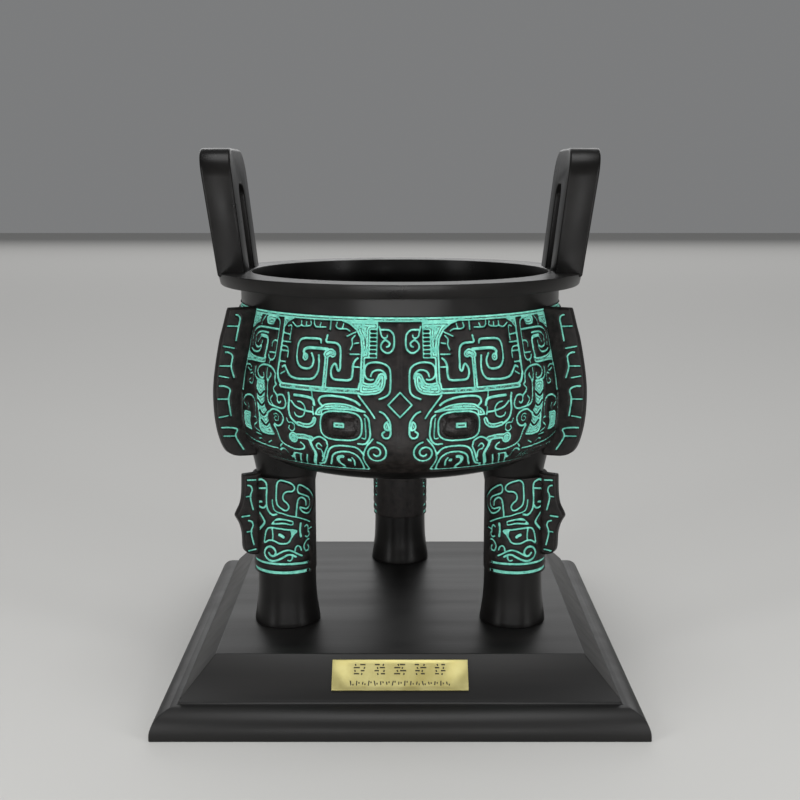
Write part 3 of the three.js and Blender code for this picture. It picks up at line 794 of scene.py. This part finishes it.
# %% Cheek and ear
mask.line(1.3, (31.6, 94.2), (32.5, 96.3), (36, 96.9), (40.4, 97))
mask.line(0.8, (32.3, 96), (32.9, 98.6))
mask.line(0.9, (31.9, 90.6), (32.1, 91.8), (32.2, 93.4))
mask.line(THIN, (32.3, 91.5), (35.5, 91.8), (39.3, 92.8), (41.6, 94.7))
mask.line(0.9, (38.7, 94.8), (37.4, 94.7), (36, 93.8), (35.4, 92.2), (36, 90.1), (37.4, 89.3),
          (39.3, 89.6), (40, 90.7))
mask.line(1.2, (43.1, 97.4), (42.6, 95.6), (42.7, 92.7), (42.4, 90.1), (41.4, 88.3), (39.5, 86.9),
          (38, 86.5))
mask.line(2.0, (38.4, 86.7), (35.6, 86.3), (33.4, 86.6), (32, 87.7), (31.5, 89))
mask.line(0.8, (43.7, 88.2), (42.9, 86.7), (41.5, 86.8), (40.2, 86), (40.2, 84.4), (41.5, 83.6),
          (42.8, 84.5), (42.4, 85.6))
print(len(mask.marks), "marks")

# %% Body: shoulder, flank and foreleg
mask.line(THIN, (50.3, 97.2), (48.7, 95.9), (48.2, 94), (47.4, 93.3), (46.6, 93.9))
mask.line(THIN, (48.7, 95.9), (47.2, 96.4), (45.6, 96.2), (44.5, 94.8), (44.1, 93.3), (44.8, 91.9),
          (46.6, 91.4), (49.8, 91.8), (52.2, 92.3), (53.4, 94), (53.9, 97), (54.2, 100), (53.6, 102),
          (52.9, 102.8), (53.3, 103.6))
mask.line(0.9, (51, 95.6), (51.9, 94.6), (51.6, 93.4), (50.6, 92.4))
mask.line(THIN, (49.5, 99.9), (50.4, 100.9), (50.7, 103.3), (51.6, 104.6), (53.8, 105.8),
          (56.4, 106.2), (59, 106), (60.8, 104.9), (61.1, 103.2), (59.8, 101.7), (57.9, 101.3),
          (56.9, 101.9), (57.4, 103.2))
mask.line(0.9, (49.5, 99.9), (50.8, 98.4), (50, 97))
mask.line(0.9, (55.4, 105.2), (55.3, 102.6), (54.6, 100.5))
mask.line(THIN, (62.9, 104.9), (62.8, 102.5), (61.6, 100.9), (59.3, 100.4), (56.4, 100.4))
mask.area((55.8, 99.8), (61, 100.2), (60.3, 95), (60, 92), (59, 87.5), (58.2, 81), (50.4, 80.8),
          (51.5, 84), (53, 86.8), (52.9, 89), (54.6, 91.2), (55.1, 94.2), smooth=True)
for k in range(4):
    scale_height = 84.4 + 3.6 * k
    scale_middle = 54.8 + 1.1 * k
    mask.bare(0.5, (scale_middle - 2.3, scale_height + 1.4), (scale_middle, scale_height - 0.4),
              (scale_middle + 2.4, scale_height + 1.2))
mask.line(THIN, (53.7, 88.8), (52.4, 89.6), (50.8, 90.6), (48.7, 90.6), (46.6, 89.8), (45.4, 88.3),
          (45.7, 86.4), (46.9, 85.1), (48.5, 84.7), (49.7, 85.3))
mask.spiral(0.7, 48.9, 87.6, 1.7, 0.5, 40, 1.2)
mask.line(THIN, (50.2, 84.8), (49, 83.3), (48.1, 81.2), (47.4, 79.3), (46.2, 78.1), (44, 77.2),
          (41.4, 76.6), (38.7, 76.7), (36.9, 77.4), (36.6, 78.6), (37.9, 79.6))
mask.line(THIN, (60.7, 86.2), (60.7, 90.1), (61.1, 92.2), (62.4, 93.5), (64.8, 94.1), (67.5, 93.6),
          (69.2, 92.2), (69, 90.6), (67.5, 89.5))
mask.line(0.9, (66.2, 91), (65.3, 90.2), (65.4, 88.6))
mask.area((63.6, 87.4), (64.4, 84), (63.6, 80.9), (66, 80.6), (69.4, 81.6), (69.4, 87), (66.6, 87.8),
          smooth=True)
mask.line(0.9, (70.7, 79.6), (70.7, 94))
mask.line(0.85, (61.9, 86.2), (60.2, 85.9), (60.2, 84.3), (61.7, 83.3), (61.7, 82), (60.1, 81.3),
          (58.9, 80.9))
mask.line(0.8, (58, 79.7), (61.8, 80.1))
mask.line(0.8, (52.5, 78.3), (55, 77.1))
mask.line(0.8, (57, 77.2), (58.5, 78.2), (60.5, 77.8))
mask.line(THIN, (50.2, 75.5), (54, 75.4), (58, 75.8), (62.9, 76.2), (66.1, 76.8), (68.4, 77.6),
          (71.4, 79))
print(len(mask.marks), "marks")

# %% Claws and the striped ground under them
mask.line(0.9, (47.2, 77.7), (48, 77.2), (48.6, 76.4))
mask.line(THIN, (49.5, 74.8), (48.2, 75.6), (46.6, 75.9), (45.8, 75.1), (45.6, 73.4), (45, 72.4),
          (43.9, 73.2), (41.9, 74.7), (38.7, 74.8))
for k in range(3):
    claw = 36.2 + 3.0 * k
    mask.line(0.9, (claw, 74.9), (claw + 1.0, 73.4), (claw + 2.8, 71.0))
mask.area((50, 71), (71.5, 71), (71.5, 75.2), (68, 74.8), (62, 74.4), (54, 74.2), (51, 73.6))
for k in range(9):
    stripe = 51.6 + 2.25 * k
    mask.bare(0.5, (stripe, 71.0), (stripe + 0.9, 72.6), (stripe + 2.2, 74.2))
print(len(mask.marks), "marks")

# %% Tail
mask.line(THIN, (54.9, 123.8), (52.9, 122.8), (52.2, 121.4), (52.1, 117), (52.2, 111.6), (52.4, 109.4),
          (53.7, 108.3), (55.4, 108.6), (56.1, 109.9))
mask.line(0.9, (54.8, 108.4), (55, 107))
mask.line(0.9, (52.2, 111), (55.8, 110.9))
mask.line(0.9, (52.3, 115.3), (54, 115.3), (55, 114.4), (54.8, 113))
mask.area((54.8, 124), (60.6, 124), (60.3, 120.9), (56.2, 120.7), (55.2, 121.8), smooth=True)
mask.line(THIN, (61.9, 123.6), (63.4, 122.2), (63.9, 120.4))
mask.line(THIN, (52.4, 119.4), (58, 119.5), (62.9, 119.5), (65.8, 119.2), (67.8, 118.2), (68.7, 116.4),
          (68.5, 113.9), (67.9, 112.3))
mask.area((64.6, 124), (64.9, 121.2), (67, 120.6), (69.6, 118.8), (72, 118.8), (72, 124))
mask.line(THIN, (58.3, 117.7), (62, 117.8), (64.8, 117.4), (66.3, 116), (66.2, 113.8))
mask.line(1.5, (62.9, 116.4), (60.3, 116.3), (58.4, 115.8), (57.8, 113.8), (58.1, 111), (58.2, 108.4))
mask.line(THIN, (61.5, 112.4), (62.4, 110.9), (64.3, 110.2), (66.7, 110.3), (68.4, 111))
mask.line(THIN, (61.4, 114.6), (61.9, 112.9), (63.7, 112), (65.4, 112.2), (66.4, 113.2))
mask.line(0.9, (63.1, 115.8), (63.8, 114.8), (64.6, 113.6))
mask.area((57.4, 109.3), (60, 108.7), (66, 108.9), (69.4, 110), (72, 112), (72, 106.8), (66, 106.6),
          (58, 106.8), smooth=True)
mask.line(2.4, (71.2, 124), (71.2, 116), (70.9, 108), (70.9, 103), (70.6, 96))
mask.line(0.85, (65.8, 104.3), (67.6, 105.1), (69.5, 105))
mask.line(0.85, (65.3, 103.6), (66.5, 103), (68.5, 103.8))
mask.line(0.85, (66, 102), (64.5, 102.4), (63.5, 101), (63.4, 99.5), (64.3, 98.5), (65.8, 98.7),
          (66.3, 99.6), (65.2, 100.3))
print(len(mask.marks), "marks in half a mask")

# %% [markdown]
# ## Carving the masks
#
# A relief this fine can't be extruded by hand, so each mask is skinned in code as a loft:
# closed loops of points, one for every third of a millimetre across the mask, each running
# down the carved face and back up just inside the wall. At every point the drawing's
# distance decides how deep it is cut: a thin line gets sloping sides and a flat floor, and
# the raised parts between are very slightly domed. The eyes stand up as domes, the nose
# swells a little, and above the lozenge a thin crease parts the two halves.


# %% Skin a piece over loops of points
def loft(name, loops, marks):
    """A closed skin over loops of points in millimetres, with a face over both ends."""
    count, around = loops.shape[:2]
    row = np.arange(count - 1)[:, None] * around
    here = np.arange(around)[None, :]
    following = (here + 1) % around
    quads = np.stack([row + here, row + following, row + around + following, row + around + here], -1)
    quads = quads.reshape(-1, 4)
    corners = loops.reshape(-1, 3) * MM
    a, b, c, d = (corners[quads[:, k]] for k in range(4))
    inside_out = np.einsum("ij,ij->", a, np.cross(b, c)) + np.einsum("ij,ij->", a, np.cross(c, d)) < 0
    first, last = list(range(around)), list(range((count - 1) * around, count * around))
    if inside_out:
        quads = quads[:, ::-1]
        ends = [first, last[::-1]]
    else:
        ends = [first[::-1], last]
    mesh = bpy.data.meshes.new(name)
    mesh.from_pydata(corners.tolist(), [], quads.tolist() + ends)
    for label, values in marks.items():
        attribute = mesh.attributes.new(label, "FLOAT", "POINT")
        attribute.data.foreach_set("value", values.reshape(-1).astype(np.float32))
    piece = bpy.data.objects.new(name, mesh)
    bpy.context.scene.collection.objects.link(piece)
    return piece


def ramp(values, low, high):
    """Goes smoothly from 0 at low to 1 at high."""
    t = np.clip((values - low) / (high - low), 0, 1)
    return t * t * (3 - 2 * t)


CARVE_DEPTH = 0.62


def relief(distance):
    """Height of the surface for a distance from the nearest sunken edge."""
    dome = 0.14 * (1 - np.exp(-np.maximum(distance, 0) / 0.7))
    return dome - CARVE_DEPTH * ramp(-distance, -0.12, 0.2)


# %% Loops of a bowl mask
MASK_STEP = 0.34
MASK_ARC_RADIUS = 70.0
MASK_HALF_WIDTH = 72.6
MASK_LOW, MASK_HIGH = 69.3, 125.75
BACK_DEPTH = 1.9
CREASE_HALF_WIDTH, CREASE_DEPTH = 1.1, 0.45
NOSE_SWELL = 0.5
EYE_SQUARENESS = 2.7
PUPIL_DEPTH = 0.8


def bowl_mask_field(across, up):
    """Relief, paint distance and shine over a whole mask."""
    side = np.abs(across)
    distance = mask.distance(side, up)
    height = relief(distance)
    crease = np.clip(1 - side / CREASE_HALF_WIDTH, 0, 1) * ramp(up, 100, 101.5) * ramp(-up, -123.4, -122.6)
    swell = ramp(-side, -7, 0) * ramp(up, 70, 76) * ramp(-up, -92, -84)
    height = height - CREASE_DEPTH * crease + NOSE_SWELL * swell
    eye_x, eye_y = (side - EYE_X) / EYE_HALF_WIDTH, (up - EYE_Y) / EYE_HALF_HEIGHT
    q = (np.abs(eye_x) ** EYE_SQUARENESS + np.abs(eye_y) ** EYE_SQUARENESS) ** (1 / EYE_SQUARENESS)
    boss = q < 1
    dome = -CARVE_DEPTH + (EYE_RISE + CARVE_DEPTH) * np.clip(1 - q**2.6, 0, 1) ** 0.5
    pupil = np.maximum(np.abs(side - EYE_X) - PUPIL_HALF_WIDTH,
                       np.abs(up - PUPIL_Y) - PUPIL_HALF_HEIGHT)
    dome = dome - PUPIL_DEPTH * ramp(-pupil, -0.15, 0.15)
    height = np.where(boss, dome, height)
    distance = np.where(boss, np.minimum(pupil, 3 * (1 - q) + 0.3), distance)
    return height, distance, boss.astype(float)


def on_wall(across, up, out):
    """A point of the mask that faces the front, standing out from the wall."""
    turn = across / MASK_ARC_RADIUS
    tilt = wall_tilt(up)
    radius = wall_radius(up) + out * np.cos(tilt)
    return np.stack([radius * np.sin(turn), -radius * np.cos(turn), up - out * np.sin(tilt)], -1)


columns = np.linspace(-MASK_HALF_WIDTH, MASK_HALF_WIDTH, int(2 * MASK_HALF_WIDTH / MASK_STEP))
rows = np.linspace(MASK_HIGH, MASK_LOW, int((MASK_HIGH - MASK_LOW) / MASK_STEP))
back_rows = np.linspace(MASK_LOW + 0.4, MASK_HIGH - 0.4, 9)
across, up = np.meshgrid(columns, np.concatenate([rows, back_rows]), indexing="ij")
height, distance, shiny = bowl_mask_field(across, up)
front = np.arange(up.shape[1]) < len(rows)
out = np.where(front[None, :], height, -BACK_DEPTH)
mask_loops = on_wall(across, up, out)
mask_marks = {"carve": np.where(front[None, :], distance, 1.0), "shine": shiny}
print("a mask has", mask_loops.shape[0], "loops of", mask_loops.shape[1], "points")

# %% Three masks
for number, azimuth in enumerate(MASK_AZIMUTHS, 1):
    piece = loft(f"bowl_mask_{number}", mask_loops, mask_marks)
    place_in_vessel(piece, azimuth + math.pi / 2)
    finish_piece(piece, carved, "bronze", "ding_vessel", smooth=60)

# %% [markdown]
# ## Flanges
#
# Between the masks, in line with the legs, a thin flange stands out from the bowl. Its two
# faces carry sunken hooks and ticks. It is a loft too: level loops that run out along one
# face, round the outer edge and back along the other.


# %% Flanges of the bowl
FLANGE_ROUNDING = 0.7
FLANGE_CUT = 0.5                # depth of the sunken hooks, mm


def flange_loops(edge, inner, thickness, step, drawing):
    """Level loops of a flange whose outer edge is a curve of (height, reach)."""
    curve = smooth_curve(edge, steps=10)
    heights = np.arange(curve[0, 0], curve[-1, 0] + step / 2, step)
    reach = np.interp(heights, curve[:, 0], curve[:, 1])
    half = thickness / 2
    rounding = FLANGE_ROUNDING
    share = np.linspace(0, 1, int((reach.max() - inner) / step))
    corner = np.radians(np.linspace(15, 75, 4))
    loops, marks = [], []
    for up, outer in zip(heights, reach):
        face = inner + (outer - rounding - inner) * share
        gap = drawing.distance(face, np.full(face.shape, up))
        end = min(1.0, (up - heights[0] + 0.15) / 0.8, (heights[-1] - up + 0.15) / 0.8)
        side = (half - FLANGE_CUT * ramp(-gap, -0.12, 0.2)) - 0.5 * (1 - end)
        turn_x = outer - rounding + rounding * np.sin(corner)
        turn_y = half - rounding + rounding * np.cos(corner) - 0.5 * (1 - end)
        xs = np.concatenate([face, turn_x, turn_x[::-1], face[::-1]])
        ys = np.concatenate([side, turn_y, -turn_y[::-1], -side[::-1]])
        loops.append(np.column_stack([xs, ys, np.full(xs.shape, up)]))
        plain = np.full(corner.shape, 1.0)
        marks.append(np.concatenate([gap, plain, plain, gap[::-1]]))
    return np.array(loops), {"carve": np.array(marks), "shine": np.zeros((len(loops), len(marks[0])))}


hooks = Drawing()
for foot, turn, tip in (
    [(71.9, 113.7), (70.7, 118.8), (71.6, 123.4)], [(73.1, 99.8), (74.1, 104), (76.2, 109.6)],
    [(74.7, 85.3), (75.5, 91.5), (79, 97)], [(69.9, 71.6), (73, 77), (78.6, 81)],
):
    shoulder = (turn[0] - 0.7, (turn[1] + 2 * tip[1]) / 3)
    hooks.line(0.95, foot, turn, shoulder, ((shoulder[0] + tip[0]) / 2, tip[1] - 0.3), tip)
    hooks.line(0.85, (turn[0], turn[1] + 0.2), (turn[0] + 4.8, turn[1] + 0.6))
for tick in ([(72.6, 110.8), (77, 111.9)], [(75.2, 99.8), (79, 100.8)], [(75.8, 85.3), (79.6, 85.0)]):
    hooks.line(0.85, *tick)
BOWL_FLANGE_EDGE = [(68.9, 68), (69.3, 72.2), (70.6, 75.4), (73, 77.3), (77, 78.8), (82, 79.9),
                    (88, 80.5), (96, 80.5), (104.5, 79.4), (113.9, 77.5), (119, 76), (126, 74)]
bowl_flange = flange_loops(BOWL_FLANGE_EDGE, 61.5, 3.7, 0.35, hooks)
for number, azimuth in enumerate(LEG_AZIMUTHS, 1):
    piece = loft(f"bowl_flange_{number}", *bowl_flange)
    place_in_vessel(piece, azimuth)
    finish_piece(piece, carved, "bronze", "ding_vessel", smooth=50)

# %% [markdown]
# ## Legs
#
# Each leg is a round post: a plain foot that flares a little, a plain neck that spreads
# into the bowl, and around its middle a thicker sleeve with a small mask on the outward
# side and two painted bands below it. Foot and neck are spun. The sleeve is a loft of level
# loops, carved from its own drawing.

# %% The leg's mask
leg_mask = Drawing()
leg_mask.line(1.1, (1.6, 57.6), (1.9, 58.7), (3.2, 59.4), (5.0, 59.3), (6.4, 58.4), (6.7, 56.6),
              (6.5, 54), (6.4, 51), (6.7, 48.6), (7.8, 46.8), (9.2, 46), (10.8, 46.3))
leg_mask.line(1.0, (1.6, 55.5), (3.6, 55.9), (6.4, 56.4))
leg_mask.line(1.1, (3.9, 50.6), (2.3, 50.3), (1.6, 49.5), (2.0, 48.6), (3.8, 48.2), (5.2, 48.5),
              (6.2, 49.6))
leg_mask.line(1.3, (1.2, 45.8), (2.2, 45.9), (3.6, 44.9), (5.2, 42.9), (4.2, 41.3), (2.8, 40),
              (1.2, 38.4))
leg_mask.line(0.85, (9.1, 52), (9.3, 49.8), (9.9, 48.1), (11.2, 47.2), (13.4, 46.6), (16, 45.6),
              (18.4, 45), (20.6, 44.2), (23, 43.2), (26, 41.7))
leg_mask.line(0.95, (12.9, 59.8), (14.6, 59.4), (16.6, 58.6), (18, 57.4), (18.3, 56.1), (17.3, 55.3),
              (15.4, 55.3), (14.1, 54.7), (13.5, 53.2), (13.9, 51.8), (15, 50.8), (15.8, 49.4),
              (15.5, 48.2), (14.4, 47.8), (12.6, 48.8), (11.2, 50.2), (10.8, 52.5), (10.9, 55.5),
              (11.1, 58), (11.8, 59.4), closed=True)
leg_mask.line(0.95, (19.9, 54.6), (19.9, 57.2), (21.4, 57.2), (25, 55), (27.6, 52.8), (29.2, 50.4),
              (28.8, 48.6), (27.2, 46.9), (25.2, 45.5), (23, 45.9), (21.2, 47.2), (20.6, 48.5),
              (22.2, 48), (23.8, 47.4), (25.4, 48), (26, 50), (25.2, 51.8), (23, 53), closed=True)
leg_mask.line(1.0, (23.7, 48.9), (23.6, 50.5), (22.6, 51.7), (21, 52.4), (19.8, 51.6), (19.3, 49.5),
              (19, 47), (18.8, 45.2))
leg_mask.area((9.2, 43.5), (11, 44.9), (14, 44.7), (17.4, 43.6), (17.8, 42.4), (17, 41.5),
              (13.4, 42.2), (8.6, 41.9), (8.4, 42.6), smooth=True)
leg_mask.bare(0.6, (10.2, 43.2), (13.5, 43.5), (16.8, 42.6))
leg_mask.line(1.0, (5, 34.4), (5.2, 36.4), (5.8, 38.8), (6.8, 40.3), (8.4, 40.8), (12, 40.6),
              (15, 40.1), (17, 39.9), (18.9, 39.2), (17.6, 38), (16.6, 36.6), (15.6, 35.1), (14, 34.5),
              (11.6, 34.7), (9.4, 35.6), (7.2, 35.6), closed=True)
leg_mask.line(0.95, (8.8, 40.6), (9, 38), (8.9, 35.8))
leg_mask.area((15.7, 40.2), (16.4, 38.6), (16.3, 37), (18.9, 39.2))
leg_mask.line(1.5, (11.9, 38.1), (12.8, 37.7), (13.4, 37.2))
leg_mask.line(1.2, (20.8, 42), (20.5, 39.4), (20.8, 36.8))
leg_mask.line(0.95, (22.8, 40.4), (24, 40.8), (24.8, 39.6), (24.6, 38.4), (25.4, 37.2), (24.4, 36),
              (23, 36.5))
leg_mask.line(0.8, (24.8, 38.9), (27.2, 39.2))
leg_mask.line(0.95, (25.2, 34.9), (23.6, 34.6), (22.4, 33.2), (22.4, 31.8), (23.2, 30.6), (24.4, 30.6),
              (25, 31.6), (24.4, 32.6))
leg_mask.line(1.15, (7, 30.5), (8, 29.5), (9.4, 29.5), (10.1, 30.8), (9.6, 32.3), (8.2, 33.1),
              (6.6, 32.8), (5.3, 31.6), (4.9, 30), (5.7, 28.5), (7.2, 27.6), (9, 27.4), (11.2, 28),
              (13.4, 29.1), (15, 29.9), (16.8, 29.8), (18.4, 28.9))
leg_mask.line(1.0, (9.8, 29.6), (11.4, 30.5), (13.4, 31.5), (15.4, 31.8), (17.2, 31.2), (19, 30.1),
              (21.2, 28.9))
leg_mask.line(0.95, (18, 30.9), (18.4, 32.6), (19.3, 33.2), (20.4, 32.6), (20.9, 31.3))
leg_mask.line(0.9, (17, 29.6), (16.8, 28.2), (16, 27.5), (15, 27.8))
leg_mask.line(1.2, (-1, 26.2), (8, 26.3), (16, 26.2), (24.6, 25.6))
leg_mask.line(1.5, (-1, 22.75), (8, 22.8), (16, 22.7), (24.9, 22.4))
print(len(leg_mask.marks), "marks in half a leg mask")

# %% Loops of the sleeve
LEG_CIRCLE = 52.0
LEG_ARC_RADIUS = 12.3
SLEEVE_RADIUS, SLEEVE_SHIFT = 12.2, 0.65
SLEEVE_LOW, SLEEVE_HIGH = 21.5, 60.5
SLEEVE_STEP = 0.33
heights = np.linspace(SLEEVE_LOW, SLEEVE_HIGH, int((SLEEVE_HIGH - SLEEVE_LOW) / SLEEVE_STEP))
turns = np.linspace(-math.pi, math.pi, int(math.tau * SLEEVE_RADIUS / SLEEVE_STEP), endpoint=False)
up, turn = np.meshgrid(heights, turns, indexing="ij")
gap = leg_mask.distance(np.abs(turn) * LEG_ARC_RADIUS, up)
edge_round = 0.12 * (1 - ramp(np.minimum(up - SLEEVE_LOW, SLEEVE_HIGH - up), -0.1, 0.5))
radius = SLEEVE_RADIUS + 0.9 * relief(gap) - edge_round
sleeve_loops = np.stack([SLEEVE_SHIFT + radius * np.cos(turn), radius * np.sin(turn), up], -1)
sleeve_marks = {"carve": gap, "shine": np.zeros(gap.shape)}
print("a sleeve has", sleeve_loops.shape[0], "loops of", sleeve_loops.shape[1], "points")

# %% Leg flange
leg_hooks = Drawing()
for foot in (33.1, 47.2):
    leg_hooks.line(0.95, (14.6, foot), (15.5, foot + 4), (15.5, foot + 6), (14.8, foot + 7.8),
                   (15.3, foot + 9.4), (16.6, foot + 10))
    leg_hooks.line(0.85, (15.4, foot + 5.6), (17.3, foot + 5.5))
leg_hooks.line(0.95, (13.3, 58.9), (16.6, 59.2))
leg_hooks.line(1.0, (16.2, 45), (19.2, 45))
leg_hooks.line(0.95, (13.9, 31.1), (16.8, 30.9))
LEG_FLANGE_EDGE = [(29.0, 14.5), (29.6, 16.4), (30.6, 17.7), (32.6, 18.4), (37.8, 18.6), (41.4, 19.4),
                   (43.6, 20.4), (45.4, 21.3), (47, 20.7), (49.8, 19.2), (53, 18.5), (57, 18.2),
                   (61.4, 18.1)]
leg_flange = flange_loops(LEG_FLANGE_EDGE, 9.0, 3.6, 0.35, leg_hooks)
print("a leg flange has", leg_flange[0].shape[0], "loops")

# %% Three legs
foot_side = smooth_curve([(13.0, 1.0), (12.4, 5), (11.8, 10), (11.55, 15), (11.45, 21.6)], steps=4)
neck_side = smooth_curve([(10.2, 51), (10.9, 56), (11.9, 61), (12.9, 66), (14.4, 72)], steps=5)
FOOT_OUTLINE = [(0, 0), (12.6, 0), (13.0, 0.4), *foot_side, (11.4, 30), (0, 30)]
NECK_OUTLINE = [(0, 50), (10.0, 50), *neck_side, (0, 72)]
NECK_SHIFT = -0.8
for number, azimuth in enumerate(LEG_AZIMUTHS, 1):
    for part, outline, shift in (("foot", FOOT_OUTLINE, 0), ("neck", NECK_OUTLINE, NECK_SHIFT)):
        piece = spun(f"leg_{part}_{number}", outline, steps=72)
        place_in_vessel(piece, azimuth, (LEG_CIRCLE + shift, 0, 0))
        finish_piece(piece, patina, "bronze", "ding_vessel")
    for part, (loops, marks) in (("sleeve", (sleeve_loops, sleeve_marks)), ("flange", leg_flange)):
        piece = loft(f"leg_{part}_{number}", loops, marks)
        place_in_vessel(piece, azimuth, (LEG_CIRCLE, 0, 0))
        finish_piece(piece, carved, "bronze", "ding_vessel", smooth=50)

# %% [markdown]
# ## Ears
#
# Two upright ears stand on the rim: thick loops with rounded upper corners, a long slot and
# a slight outward lean. One ear is a box whose upper edges are bevelled round, with the slot
# cut by a second box bevelled the same way. Then its points are slid outward in proportion
# to their height. The other ear is a mirrored copy.

# %% Ears
EAR_WIDTH, EAR_HEIGHT, EAR_CORNER = 45.0, 47.4, 11.0
SLOT_WIDTH, SLOT_TOP, SLOT_CORNER = 15.0, 33.8, 5.5
EAR_INNER, EAR_LEAN, EAR_BASE, EAR_TOP = 59.3, 5.6, 10.8, 12.0
EAR_SUNK = 1.5


def arched_box(name, thickness, width, low, high, corner):
    """An upright box whose two upper edges are rounded."""
    box = small_box((thickness, width, high - low), (0, 0, (low + high) / 2))
    box.name = name
    bpy.ops.object.mode_set(mode="EDIT")
    bpy.ops.mesh.select_mode(type="EDGE")
    bpy.ops.mesh.select_all(action="DESELECT")
    bpy.ops.object.mode_set(mode="OBJECT")
    for edge in box.data.edges:
        ends = [box.data.vertices[v].co for v in edge.vertices]
        at_top = all(p.z > (high - 0.01) * MM for p in ends)
        edge.select = at_top and abs(ends[0].y - ends[1].y) < MM * 0.01
    bpy.ops.object.mode_set(mode="EDIT")
    bpy.ops.mesh.bevel(offset=corner * MM, segments=14, affect="EDGES")
    bpy.ops.object.mode_set(mode="OBJECT")
    return box


ear = arched_box("ear_right", 1.0, EAR_WIDTH, -EAR_SUNK, EAR_HEIGHT, EAR_CORNER)
slot_cutter = arched_box("slot_cutter", 3.0, SLOT_WIDTH, -EAR_SUNK - 4, SLOT_TOP, SLOT_CORNER)
cut_away(ear, slot_cutter)
for vertex in ear.data.vertices:
    rise = vertex.co.z / MM / EAR_HEIGHT
    thickness = EAR_BASE + (EAR_TOP - EAR_BASE) * rise
    vertex.co.x = (EAR_INNER + EAR_LEAN * max(rise, 0.0) + thickness * (vertex.co.x / MM + 0.5)) * MM
    vertex.co.z += RIM_HIGH * MM
soften(ear, 1.0, segments=3, angle=40)
print("ear spans", [round(v / MM, 1) for v in ear.dimensions], "mm")

# %% Second ear
use(ear)
bpy.ops.object.duplicate()
other_ear = take("ear_left")
other_ear.data.transform(Matrix.Scale(-1, 4, (1, 0, 0)))
other_ear.data.flip_normals()
for piece in (ear, other_ear):
    place_in_vessel(piece)
    finish_piece(piece, patina, "bronze", "ding_vessel")

# %% Measure and finish
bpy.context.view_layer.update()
triangles = sum(sum(len(face.vertices) - 2 for face in piece.data.polygons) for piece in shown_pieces())
print("triangles:", triangles)
